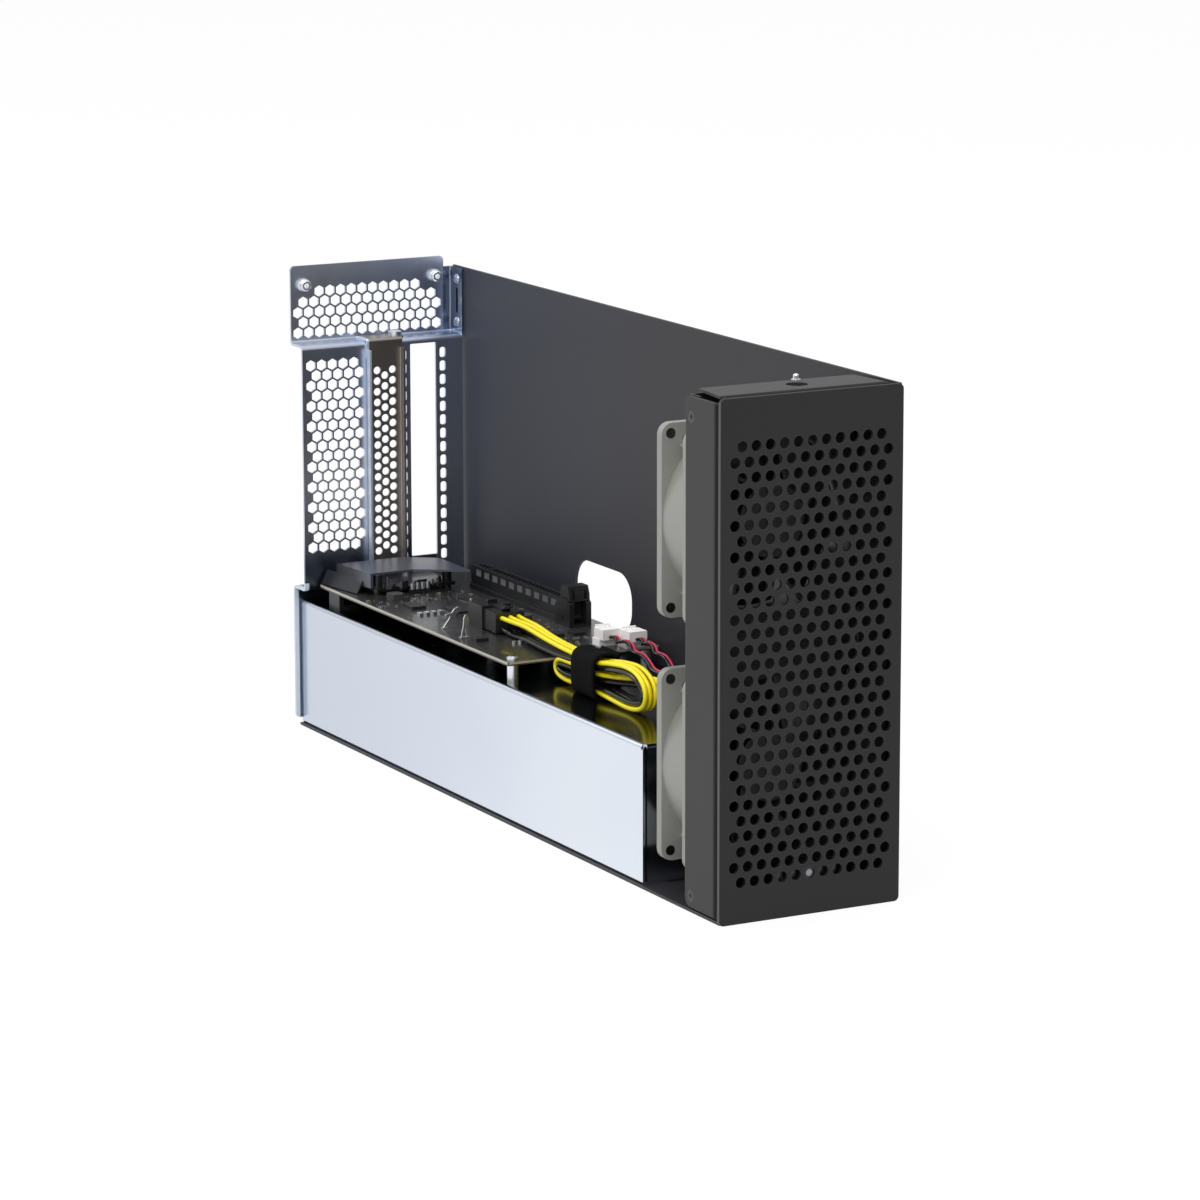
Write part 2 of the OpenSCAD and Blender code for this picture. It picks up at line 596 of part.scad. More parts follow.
// Round corners of the upper plate and its notch beside the far wall
module upper_corners(edge_x) {
    top = case_h + top_lip;
    along_y(rear_in - 1, case_l + 1) {
        difference() {
            translate([-side_lip - 1, top - 2]) square([3, 3]);
            translate([-side_lip + 2, top - 2]) circle(2);
        }
        difference() {
            translate([edge_x - 2, top - 2]) square([9, 3]);
            translate([edge_x - 2, top - 2]) circle(2);
        }
        translate([edge_x, case_h - 0.6]) square([9, top_lip - 1]);
    }
}
module hex_row_cut(n, x, z, y) {
    for (c = [0:n - 1]) translate([x + (c - (n - 1) / 2) * hex_pitch, y - 1, z]) rotate([-90, 30, 0])
        cylinder(h = sheet_t + 2, d = hex_w / cos(30), $fn = 6);
}
module ladder_slot(x, z) along_y(recess_in - 1, recess_in + 3)
    round_rect([x - 1.5, z - 2.4], [x + 1.5, z + 2.4], 1.2);
upper_hex_rows = floor((top_space - 8) / hex_row) + 1;
upper_hexes = [for (r = [0:upper_hex_rows - 1]) r == 0 ? 10 : 13 + (r + 1) % 2];
nut_xs = [4.6, wall_in - 9.7];
nut_z = case_h - 4.6;
nut_d = 4.2;
host_port_xs = [board_x + 17.6, board_x + 33.6];

module rear_rivets() {
    color("#8d93a0") in_frame() for (z = rivet_zs) {
        translate([wall_in - sheet_t, rivet_y, z]) rotate([0, -90, 0]) rotate_extrude() intersection() {
            translate([0, -1.2]) circle(2.9);
            square([2.6, 3]);
        }
        pin_x(rivet_y, z, wall_in - sheet_t - eps, case_w, rivet_d - 0.02);
    }
}

// Clinch nuts in the upper plate, for the cover's screws
module cover_nuts() {
    color("#b9bec8") in_frame() for (x = nut_xs) translate([x, 0, nut_z]) difference() {
        union() {
            translate([0, rear_in, 0]) rotate([90, 0, 0]) rotate_extrude()
                polygon([[0, 0], [3.1, 0], [3.1, 0.9], [2.6, 1.1], [2.6, 3], [2.1, 3.6], [0, 3.6]]);
            pin_y(0, 0, rear_in - eps, case_l - 0.1, nut_d - 0.02);
        }
        pin_y(0, 0, rear_in - 5, case_l + 1, 2.5);
    }
}

// Perforated cover on the second card slot
module slot_cover() {
    half = cover_w / 2;
    y = recess_in - cover_t / 2;
    side = half - cover_t / 2;
    tab_y = recess_in + 10.8;
    color("#4a4440") in_frame() translate([slot1_x, 0, 0]) difference() {
        union() {
            along_z(slot_top - slot_h - 1.4, shelf_z - 4)
                folded([[-side, y - 3.6], [-side, y], [side, y], [side, y - 3.6]], cover_t, 1.4);
            along_x(-half, half) folded([[y, shelf_z - 8], [y, shelf_z + cover_t / 2],
                [tab_y, shelf_z + cover_t / 2]], cover_t, 1.4);
            box([half - 1, recess_in + 2, shelf_z], [slot_pitch / 2 + 0.9, tab_y, shelf_z + cover_t]);
        }
        for (c = [-1, 0, 1], r = [0:(c == 0 ? cover_rows - 1 : cover_rows)])
            pin_y(c * 3.96, slot_top - 11 - (r + (c == 0 ? 0.5 : 0)) * cover_pitch,
                recess_in - 3, recess_in + 1, cover_hole_d);
        pin_z(slot_screw_dx, slot_screw_y, shelf_z - 1, shelf_z + 3, 3.4);
    }
}
module bracket_screw() {
    color("#c4c8d0") in_frame() translate([slot1_x + slot_screw_dx, slot_screw_y, shelf_z + cover_t]) {
        translate([0, 0, -5.2]) cylinder(h = 5.2 + eps, d = 2.88);
        pan_screw(2.88, 1, 6.4, 2.6);
    }
}

// Tray: the bright cover over the power supply
module tray() {
    mid = sheet_t / 2;
    top = tray_h - mid;
    low = sheet_t + mid;
    left = tray_x0 + mid;
    right = tray_x1 - mid;
    color("#c8d0dc") in_frame() difference() {
        union() {
            along_y(tray_y, tray_y1) folded([[left, low + 3], [left, top], [right, top], [right, low],
                [tray_x1 - 12, low]], sheet_t);
            along_y(tray_y, tray_y1)
                folded([[tray_x0 + 12, low], [left, low], [left, low + 4]], sheet_t, sheet_t + 0.15);
            along_x(tray_x0 + 2, tray_x1 - 2) folded([[tray_y + 6, top], [tray_y + mid, top],
                [tray_y + mid, sheet_t + 0.6]], sheet_t);
            along_z(sheet_t + 2.4, tray_h - 3) folded([[left, tray_y1 - 6], [left, tray_y1 - mid],
                [tray_x0 + 1.7 + bend_r, tray_y1 - mid]], sheet_t);
        }
        box([tray_x0 - 1, tray_y - 1, tray_h - bend_r], [tray_x0 + 2, tray_y + 1.6, tray_h + 1]);
        along_z(tray_h - 3, tray_h + 1)
            round_rect([outlet_x - 9, outlet_y - 13], [outlet_x + 11, outlet_y + 9], 4);
        for (i = [0:2]) along_z(tray_h - 3, tray_h + 1)
            round_rect([board_x + 4.6, board_y + 34 + i * 24], [board_x + 6.4, board_y + 39 + i * 24], 0.8);
        for (p = spacer_at) pin_z(p.x, p.y, tray_h - 3, tray_h + 1, screw_d);
        for (x = tray_screw_xs, y = tray_screw_ys) pin_z(x, y, 0, 4, screw_d - 0.4);
        for (x = [22:9:58], z = [18:9:45]) pin_y(x, z, tray_y - 1, tray_y + 2, 5);
    }
}
module tray_screws() {
    color("#9aa0a8") in_frame() for (x = tray_screw_xs, y = tray_screw_ys)
        translate([x, y, 0.02]) mirror([0, 0, 1]) tray_screw();
}
module tray_screw() translate([0, 0, -4.6]) cylinder(h = 4.6, d = screw_d - 0.42);

// Power supply inside the tray, with the mains inlet behind it
module power_supply() {
    x0 = tray_x0 + sheet_t + 1;
    x1 = tray_x1 - sheet_t - 1;
    z0 = sheet_t * 2;
    color("#9a9da2") in_frame() difference() {
        along_y(supply_y0, supply_y1) round_rect([x0, z0], [x1, z0 + supply_h], 1.5);
        for (i = [0:7], s = [0, 1]) translate([20 + i * 5.4, supply_y0 + (0.7 + s * 1.2) * vent_l, z0])
            box([0, 0, supply_h - 1], [2.4, 0.9 * vent_l, supply_h + 1]);
    }
}
module mains_inlet() {
    color("#1c1c1d") in_frame() difference() {
        union() {
            along_y(supply_y1, case_l + eps)
                round_rect([inlet_x - 13.6, inlet_z - 10.1], [inlet_x + 13.6, inlet_z + 10.1], 1.8);
            along_y(case_l, box_l)
                round_rect([inlet_x - 15.2, inlet_z - 11.7], [inlet_x + 15.2, inlet_z + 11.7], 2.5);
        }
        along_y(case_l - 17, box_l + 1) difference() {
            round_rect([inlet_x - 12, inlet_z - 8], [inlet_x + 12, inlet_z + 8], 1);
            for (s = [-1, 1])
                translate([inlet_x + s * 12, inlet_z + 8]) rotate(45) square(8, center = true);
        }
    }
}
module inlet_pins() {
    color("#d9c9a0") in_frame() for (i = [-1, 0, 1])
        translate([inlet_x + i * 7, case_l, inlet_z + (i == 0 ? 1 : -4)]) box([-1, -17, 0], [1, -2, 4]);
}

// Carrier board on its spacers
module carrier_board() {
    color("#1b1c1b") in_frame() difference() {
        along_z(board_z, board_top) round_rect([board_x, board_y], [board_x1, board_y1], 1.5);
        for (p = spacer_at) pin_z(p.x, p.y, board_z - 1, board_top + 1, screw_d + 0.2);
    }
}
module board_spacers() {
    color("#c9ccd2") in_frame() for (p = spacer_at) translate([p.x, p.y, 0]) difference() {
        union() {
            pin_z(0, 0, tray_h, board_z, 5);
            pin_z(0, 0, tray_h - sheet_t, tray_h + eps, screw_d - 0.04);
        }
        pin_z(0, 0, tray_h, board_z + 1, screw_d - 0.4);
    }
}
module board_screws() {
    color("#b4b8be") in_frame() for (p = spacer_at)
        translate([p.x, p.y, board_top]) pan_screw(screw_d - 0.44, board_t + 4.4, 5.4, 1.9);
}
module board_support() {
    color("#2e2c2c") in_frame() difference() {
        box([board_x + 0.8, board_y1 - 20, tray_h], [board_x + 11, board_y1 - 9, board_z]);
        box([board_x + 3, board_y1 - 21, tray_h + 2], [board_x + 12, board_y1 - 11, board_z - 1.6]);
    }
}

// Card slot connector: a long ribbed body with its two contact grooves
module slot_connector() {
    x = connector_x;
    w = connector_w / 2;
    key_y = connector_y1 - 14;
    color("#141415") in_frame() difference() {
        union() {
            box([x - w, connector_y0, board_top], [x + w, connector_y1, connector_top]);
            box([x - w - 0.7, connector_y0, board_top], [x + w + 0.7, connector_y1, board_top + 2.4]);
            for (s = [-1, 1]) along_x(x + s * (w + 0.6) - 1.2, x + s * (w + 0.6) + 1.2) {
                translate([latch_y - 6, board_top]) square([14, 5]);
                translate([latch_y, latch_z]) intersection() {
                    circle(latch_r);
                    translate([-6, 0]) square([14, latch_r]);
                }
            }
            box([x - w - 1.8, latch_y - 6, board_top], [x + w + 1.8, connector_y0 + 2, board_top + 1]);
        }
        for (s = [-1, 1], i = [0:connector_bays - 1]) box(
            [x + s * w - 0.7, connector_y0 + 4.2 + i * bay_pitch, connector_top - 4.4],
            [x + s * w + 0.7, connector_y0 + 9.7 + i * bay_pitch, connector_top - 1.2]);
        box([x - 0.95, connector_y0 + 1.5, connector_top - 8.4], [x + 0.95, key_y - 1, connector_top + 1]);
        box([x - 0.95, key_y + 1, connector_top - 8.4], [x + 0.95, connector_y1 - 1.5, connector_top + 1]);
        for (s = [-1, 1], i = [0:26]) translate([x + s * 1.6, connector_y0 + 3 + i * 3.1, connector_top])
            box([-0.7, 0, -1.2], [0.7, 1.6, 1]);
        pin_x(latch_y, latch_z, x - w - 3, x + w + 3, 2.6);
    }
}
bay_pitch = 8.3;
connector_bays = floor((connector_l - 6) / bay_pitch);
latch_r = 9.6;
// Retention lever at the connector's front end, on its own pin
module slot_latch() {
    x = connector_x;
    w = connector_w / 2 - 1;
    top = board_top + 18.3;
    color("#1d1e20") in_frame() {
        pin_x(latch_y, latch_z, x - w - 2.6, x + w + 2.6, 2.5);
        difference() {
            union() {
                pin_x(latch_y, latch_z, x - w, x + w, 4);
                box([x - w, latch_y - 1.6, latch_z], [x + w, latch_y + 2, top - 1]);
                box([x - w, latch_y - 1.6, connector_top - 1],
                    [x + w, connector_y0 - 0.5, connector_top + 1.4]);
                along_x(x - w - 2.4, x + w + 2.4) difference() {
                    translate([latch_y, top]) polygon([[-3.6, 0], [2.4, 0], [3.4, -3], [3.4, -8],
                        [-5.4, -8], [-5.2, -3.6]]);
                    translate([latch_y, latch_z]) circle(latch_r + 0.4);
                }
            }
            box([x - 1, latch_y + 0.6, latch_z + 4], [x + 1, connector_y0, top + 1]);
            for (s = [-1, 1])
                box([x + s * 3 - 0.8, latch_y - 7, latch_z + 9], [x + s * 3 + 0.8, latch_y - 4, top + 1]);
        }
    }
}

// Host link module above the carrier board, under a black shield
module module_board() {
    color("#20241f") in_frame() along_z(module_z, module_top)
        round_rect([board_x + 10.6, connector_y1 + 4], [board_x + 52.1, recess_in - 1], 1);
}
module_post_xs = [board_x + 13.6, board_x + 49.1];
module_post_y = connector_y1 + 7.4;
module module_link() {
    color("#2a2621") in_frame() {
        box([board_x + 17.6, connector_y1 + 18, board_top], [board_x + 45.6, connector_y1 + 23, module_z]);
        for (x = module_post_xs) pin_z(x, module_post_y, board_top, module_z, 4.4);
    }
}
module module_shield() {
    side_y = recess_in - 38.4;
    tip_y = connector_y1 - 8.6;
    outline = [[5, recess_in - 10], [9, side_y], [30.6, side_y], [53.2, tip_y], [53.2, recess_in - 20],
        [39.6, recess_in - 10]];
    inner = [[6.3, recess_in], [10.4, side_y - 1], [60, side_y - 30], [60, recess_in]];
    color("#26272b") in_frame() {
        translate([board_x, 0, 0]) difference() {
            along_z(module_top + 0.4, shield_top) polygon(outline);
            along_z(board_top + 1, shield_top - 1) polygon(inner);
        }
        translate([board_x + 5, recess_in - 10, 0]) rotate(8) along_y(-22, 8)
            polygon([[0, shield_top - 4], [-3.2, board_top + 0.4], [-2.2, board_top + 0.4],
                [1, shield_top - 4]]);
        for (x = module_post_xs) difference() {
            pin_z(x, module_post_y, module_top, shield_top - 0.9, 4.4);
            pin_z(x, module_post_y, module_top - 1, module_top + 2, 1.6);
        }
    }
}
module host_ports() {
    color("#aeb2b8") in_frame() for (x = host_port_xs) difference() {
        along_y(recess_in - 6.6, recess_in + sheet_t + 0.3)
            round_rect([x - 4.5, module_top], [x + 4.5, module_top + 3.2], 1.55);
        along_y(recess_in - 5, recess_in + 3) difference() {
            round_rect([x - 4.2, module_top + 0.3], [x + 4.2, module_top + 2.9], 1.25);
            translate([x - 3.3, module_top + 1.25]) square([6.6, 0.7]);
        }
    }
}

// Power header on the board and the six-way plug in it
module power_header() {
    x0 = plug_x - plug_w / 2 - 0.9;
    x1 = plug_x + plug_w / 2 + 0.9;
    z1 = plug_z + plug_h / 2 + 1.1;
    color("#18181a") in_frame() difference() {
        union() {
            box([x0, header_y, board_top], [x1, header_y + 14, z1]);
            box([plug_x - 2.4, header_y + 4, z1 - eps], [plug_x + 2.4, header_y + 6, z1 + 1.8]);
        }
        box([x0 + 0.8, header_y - 1, plug_z - plug_h / 2 - 0.1], [x1 - 0.8, header_y + 8.1, z1 - 1]);
    }
}
module power_plug() {
    w = plug_w / 2;
    h = plug_h / 2;
    y1 = plug_y0 + plug_l;
    color("#202022") in_frame() difference() {
        union() {
            box([plug_x - w, plug_y0, plug_z - h], [plug_x + w, y1, plug_z + h]);
            box([plug_x - w - 0.7, plug_y0, plug_z - h], [plug_x + w + 0.7, plug_y0 + 4, plug_z + h]);
            along_x(plug_x - 2.2, plug_x + 2.2) translate([plug_y0, plug_z + h])
                polygon([[1, 2.6], [7, 1.4], [plug_l - 8.4, 1.4], [plug_l - 8.4, 0], [4, -eps], [4, 1],
                    [1, 1.6]]);
        }
        for (i = [-1, 0, 1], k = [-1, 1]) translate([plug_x + i * 4.2, plug_y0, plug_z + k * 2.1])
            box([-1.3, 12, -1.3], [1.3, plug_l + 1, 1.3]);
    }
}

// Power wires: three lanes in two rows, folded back twice inside the strap
lane_pitch = wire_d + 0.4;
row_offset = wire_d / 2 + 0.18;
module power_wires_yellow() {
    color("#f2e21c") in_frame() for (i = [-1, 0, 1])
        tube(power_route, wire_d, lane = i * lane_pitch, row = -row_offset, wide = 4.2 / lane_pitch);
}
module power_wires_black() {
    color("#1a1a1c") in_frame() for (i = [-1, 0, 1])
        tube(power_route, wire_d, lane = i * lane_pitch, row = row_offset, wide = 4.2 / lane_pitch);
}
module cable_strap() {
    x = plug_x - 5.5;
    y = strap_y;
    a = [x - lane_pitch - wire_d / 2 - 0.3, tray_h + 1.9];
    b = [x + lane_pitch + wire_d / 2 + 0.3, tray_h + 17.1];
    color("#101012") in_frame() {
        along_y(y, y + 16.5) difference() {
            round_rect(a - [1.5, 1.5], b + [1.5, 1.5], 3.6);
            round_rect(a, b, 0.8);
        }
        along_y(y + 1.5, y + 15) translate(b)
            polygon([[1.4, -9], [2.7, -8], [2.8, -1], [4.2, 0.6], [3.4, 1.6], [1.6, 0]]);
    }
}

// Fan headers, plugs and leads
fan_plug_at = [[board_x + 54.6, board_y + 7, board_top],
    [board_x + 62.6, board_y - 2.6, board_top]];
module fan_headers() {
    color("#ecebe6") in_frame() for (p = fan_plug_at) translate(p) {
        box([-4.6, 3, 0], [4.6, 9.4, 3.2]);
        box([-3.4, 8.2, 3.2 - eps], [3.4, 9.4, 8.6]);
    }
}
module fan_plugs() {
    color("#f4f2ee") in_frame() for (p = fan_plug_at) translate(p) difference() {
        box([-4.4, 0, 3.2], [4.4, 8.2, 7.8]);
        for (i = [-1, 0, 1]) box([i * 2.54 - 0.5, 4.8, 5.6], [i * 2.54 + 0.5, 7, 8.5]);
    }
}
lead_offset = lead_d / 2 + 0.15;
module fan_leads_red() {
    color("#c02a3c") in_frame() for (r = [upper_lead_route, lower_lead_route])
        tube(r, lead_d, lane = lead_offset);
}
module fan_leads_black() {
    color("#17171a") in_frame() for (r = [upper_lead_route, lower_lead_route])
        tube(r, lead_d, lane = -lead_offset);
}

// Parts on the carrier board, measured from its left edge and from its front or back edge
module on_board(x, y) {
    edge_y = y > 0 ? board_y : board_y1;
    translate([board_x + x, edge_y + y, board_top]) children();
}
module chip(x, y, w, l, h) {
    on_board(x, y) difference() {
        translate([-w / 2, -l / 2, 0]) cube([w, l, h]);
        translate([1.2 - w / 2, 1.2 - l / 2, h - 0.15]) cylinder(h = 1, d = 0.9);
    }
}
module board_chips() {
    color("#151516") in_frame() {
        chip(31.6, -87, 14, 14, 1.5);
        chip(45.6, -69, 9, 9, 1.2);
        chip(15.6, -69, 7, 10, 1.4);
        chip(9.6, 46, 6, 5, 1.6);
        chip(43.6, 38, 5, 6, 1.6);
        chip(35.6, 24, 10, 7, 1.8);
        chip(53.6, 38, 6, 6, 1.2);
        for (i = [0:3]) can_at(i) translate([-1.1, -1.1, 0]) cube([2.2, 2.2, can_foot]);
    }
}
can_foot = 2.2;
module can_at(i) on_board(28.2 + i * 2.6, -41.1) children();
module board_capacitors() {
    color("#c8c8c6") in_frame() {
        for (i = [0:3]) can_at(i) translate([0, 0, can_foot]) cylinder(h = 2.9, d = 2);
        for (i = [0:3]) on_board(9.6 + i * 3.4, -87) cube([1.8, 3, 1.2]);
        for (i = [0:4]) on_board(43.6 + i * 2.6, -101) cube([1.4, 2.6, 1.1]);
        for (i = [0:3]) on_board(19.6 + i * 3, 32) cube([1.4, 2.6, 1.1]);
    }
}
module board_coils() {
    color("#3b3a3a") in_frame() for (p = [[45.6, -87], [45.6, -119], [15.6, -49]]) on_board(p.x, p.y)
        intersection() {
            translate([-3.4, -3.4, 0]) cube([6.8, 6.8, 3]);
            rotate(45) translate([-4, -4, 0]) cube([8, 8, 5]);
        }
}
// Two small earthing clips with split fingers
module board_clips() {
    color("#c9c9cc") in_frame() {
        on_board(6.9, 77) {
            box([-0.6, -1.1, 0], [1.6, 1.1, 0.4]);
            along_y(-0.4, 0.4) polygon([[0, 0.3], [0.9, 0.3], [3.7, 3.2], [5.3, 4.4], [7.4, 6.8], [8.3, 8.6],
                [7.4, 9.2], [5.6, 8.4], [4.2, 6.7], [1.2, 6.2], [1.2, 5.5], [3.5, 5.2], [2.8, 4]]);
        }
        on_board(4.9, 55.3) {
            box([-0.6, -1.1, 0], [4, 1.1, 0.4]);
            along_y(-0.4, 0.4) polygon([[0, 0.3], [0.8, 0.3], [2.1, 4.8], [2.5, 1.4], [2.7, 0.3], [3.5, 0.3],
                [3.7, 5.4], [3.7, 8.8], [3, 10.2], [2.1, 10.2], [1.4, 8.8], [1.2, 5.6]]);
        }
    }
}

chassis_body();
front_grille();
front_frame();
frame_screws();
grille_nuts();
cover_stud();
led_lens();
led_board();
fan_plate();
upper_fan_frame();
upper_fan_rotor();
lower_fan_frame();
lower_fan_rotor();
fan_screws();
rear_panel();
rear_rivets();
cover_nuts();
slot_cover();
bracket_screw();
tray();
tray_screws();
power_supply();
mains_inlet();
inlet_pins();
carrier_board();
board_spacers();
board_screws();
board_support();
slot_connector();
slot_latch();
module_board();
module_link();
module_shield();
host_ports();
power_header();
power_plug();
power_wires_yellow();
power_wires_black();
cable_strap();
fan_headers();
fan_plugs();
fan_leads_red();
fan_leads_black();
board_chips();
board_capacitors();
board_coils();
board_clips();
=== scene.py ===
# %% [markdown]
# # An expansion chassis for one card, dressed for the studio
# The real object is a narrow sheet-metal case with its cover lifted off. This script
# adds what a CAD solid can't carry: finishes, smooth wires, the strap and small parts.
# Places in the masks are metres from the near front bottom corner of the case.

# %% Load the frame
import math
import random

import bmesh
import bpy
from mathutils import Matrix, Vector


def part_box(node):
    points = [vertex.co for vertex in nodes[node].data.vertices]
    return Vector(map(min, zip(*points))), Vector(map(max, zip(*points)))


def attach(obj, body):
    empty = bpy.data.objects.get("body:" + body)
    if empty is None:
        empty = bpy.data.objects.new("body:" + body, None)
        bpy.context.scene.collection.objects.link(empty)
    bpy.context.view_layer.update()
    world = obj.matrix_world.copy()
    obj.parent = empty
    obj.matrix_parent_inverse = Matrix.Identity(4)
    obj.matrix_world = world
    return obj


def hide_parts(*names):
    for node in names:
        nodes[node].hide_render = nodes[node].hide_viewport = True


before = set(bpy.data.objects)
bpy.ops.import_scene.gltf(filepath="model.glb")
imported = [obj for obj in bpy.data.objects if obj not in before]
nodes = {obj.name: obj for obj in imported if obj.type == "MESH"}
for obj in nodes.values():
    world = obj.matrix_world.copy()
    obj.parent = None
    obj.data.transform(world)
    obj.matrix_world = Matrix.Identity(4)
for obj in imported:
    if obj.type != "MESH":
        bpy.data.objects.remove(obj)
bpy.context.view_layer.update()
corner = Vector((-0.0405, -0.2018, 0.0))

# %% [markdown]
# ## Camera
# The photograph was taken with a long lens from the left of the grille, a little above it.
# A least-squares fit of known corners gave this place. The lens is moved down a little,
# as an architect's lens is, because the object sits below the middle of a level view.

# %% Camera
camera = bpy.data.objects.new("studio_camera", bpy.data.cameras.new("studio_camera"))
bpy.context.scene.collection.objects.link(camera)
bpy.context.scene.camera = camera
view_azimuth, view_elevation, view_roll = (math.radians(a) for a in (28.2, 10.89, -0.09))
back = Vector((-math.sin(view_azimuth) * math.cos(view_elevation),
               -math.cos(view_azimuth) * math.cos(view_elevation), math.sin(view_elevation)))
camera.location = (-0.9509, -1.8005, 0.5159)
turn = (-back).to_track_quat("-Z", "Y").to_matrix() @ Matrix.Rotation(view_roll, 3, "Z")
camera.rotation_euler = turn.to_euler()
camera.data.sensor_width = 36
camera.data.lens = 143.3
camera.data.shift_x, camera.data.shift_y = -0.0023, -0.0602
camera.data.clip_start, camera.data.clip_end = 0.05, 50
print("camera:", tuple(round(v, 3) for v in camera.location))

# %% [markdown]
# ## Finishes as expressions
# A finish is a small graph of nodes. Written node by node it is long and hard to read, so
# a Socket wraps one output and turns plain arithmetic into Math nodes. A Finish owns the
# graph, and its node() method adds any other node.

# %% Socket and Finish


class Socket:
    """One output of a finish's graph, on which arithmetic adds Math nodes."""

    def __init__(self, finish, output):
        self.finish, self.output = finish, output

    def maths(self, operation, *values):
        return self.finish.node("ShaderNodeMath", {"operation": operation}, *values)

    def __add__(self, other):
        return self.maths("ADD", self, other)

    def __sub__(self, other):
        return self.maths("SUBTRACT", self, other)

    def __rsub__(self, other):
        return self.maths("SUBTRACT", other, self)

    def __mul__(self, other):
        return self.maths("MULTIPLY", self, other)

    def __lt__(self, other):
        return self.maths("LESS_THAN", self, other)

    def __gt__(self, other):
        return self.maths("GREATER_THAN", self, other)

    __radd__ = __add__

    def fract(self):
        return self.maths("FRACT", self)

    def smooth(self, low, high):
        return self.finish.node("ShaderNodeMapRange", {"interpolation_type": "SMOOTHSTEP"},
                                self, low, high, 0.0, 1.0)


def shade(hex_colour):
    """A screen colour such as "#3d3d3e" as the linear colour that a shader takes."""
    parts = [int(hex_colour[i:i + 2], 16) / 255 for i in (1, 3, 5)]
    return tuple(p / 12.92 if p < 0.04045 else ((p + 0.055) / 1.055) ** 2.4 for p in parts) + (1.0,)


def shades(*hex_colours):
    return [shade(colour) for colour in hex_colours]


def scaled(colour, factor):
    return tuple(c * factor for c in colour[:3]) + (1,)


class Finish:
    """A material whose graph is built by expressions."""

    def __init__(self, name, colour, roughness, **constants):
        self.material = bpy.data.materials.new(name)
        self.material.use_nodes = True
        self.tree = self.material.node_tree
        self.tree.nodes.clear()
        self.shader = self.tree.nodes.new("ShaderNodeBsdfPrincipled")
        output = self.tree.nodes.new("ShaderNodeOutputMaterial")
        self.tree.links.new(self.shader.outputs[0], output.inputs[0])
        self.set("Base Color", colour)
        self.set("Roughness", roughness)
        for name, value in constants.items():
            self.set(name.replace("_", " "), value)
        place = self.tree.nodes.new("ShaderNodeTexCoord").outputs["Object"]
        self.place = Socket(self, place)

    def set(self, name, value):
        socket = self.shader.inputs[name]
        if isinstance(value, Socket):
            self.tree.links.new(value.output, socket)
        else:
            socket.default_value = value

    def node(self, kind, settings, *values, at=None, out=0):
        made = self.tree.nodes.new(kind)
        for key, value in settings.items():
            if key == "stops":
                while len(made.color_ramp.elements) < len(value):
                    made.color_ramp.elements.new(0.5)
                for element, (position, colour) in zip(made.color_ramp.elements, value):
                    element.position, element.color = position, colour
            else:
                setattr(made, key, value)
        for key, value in list(enumerate(values)) + list((at or {}).items()):
            if isinstance(value, Socket):
                self.tree.links.new(value.output, made.inputs[key])
            elif value is not None:
                made.inputs[key].default_value = value
        return Socket(self, made.outputs[out])

    def stretched(self, sizes):
        """The place on the object, multiplied along X, Y and Z."""
        return self.node("ShaderNodeMapping", {}, at={"Vector": self.place, "Scale": sizes})

    def noise(self, scale, detail, place=None):
        return self.node("ShaderNodeTexNoise", {},
                         at={"Vector": place or self.place, "Scale": scale, "Detail": detail})

    def axis(self, name, place=None):
        return self.node("ShaderNodeSeparateXYZ", {}, place or self.place, out="XYZ".index(name))

    def mix(self, factor, first, second):
        return self.node("ShaderNodeMix", {"data_type": "RGBA"},
                         at={0: factor, 6: first, 7: second}, out=2)

    def bump(self, height, strength, distance, normal=None):
        return self.node("ShaderNodeBump", {}, at={"Height": height, "Strength": strength,
                                                   "Distance": distance, "Normal": normal})

    def painted_edge_highlight(self, radius):
        """1 along sharp edges, 0 on flats, found by rounding the normal near an edge; it places a
        painted highlight.
        """
        rounded = self.node("ShaderNodeBevel", {"samples": 4}, at={"Radius": radius})
        flat = self.node("ShaderNodeNewGeometry", {}, out=3)
        close = self.node("ShaderNodeVectorMath", {"operation": "DOT_PRODUCT"},
                          rounded, flat, out=1)
        return (1 - close).smooth(0.02, 0.25)


print("finishes can be written as expressions")

# %% [markdown]
# ## Studio
# The picture has a white ground with no visible corner, so the floor and the world are
# white to the camera and to reflections, while the light on the object stays plain. The
# floor keeps a share of its own shading, which holds the contact shadow.

# %% Floor
floor_reach, floor_drop = 6.0, 0.0002
white_level, glow_seen, glow_mirrored, glow_through = 1.04, 0.88, 0.8, 0.6


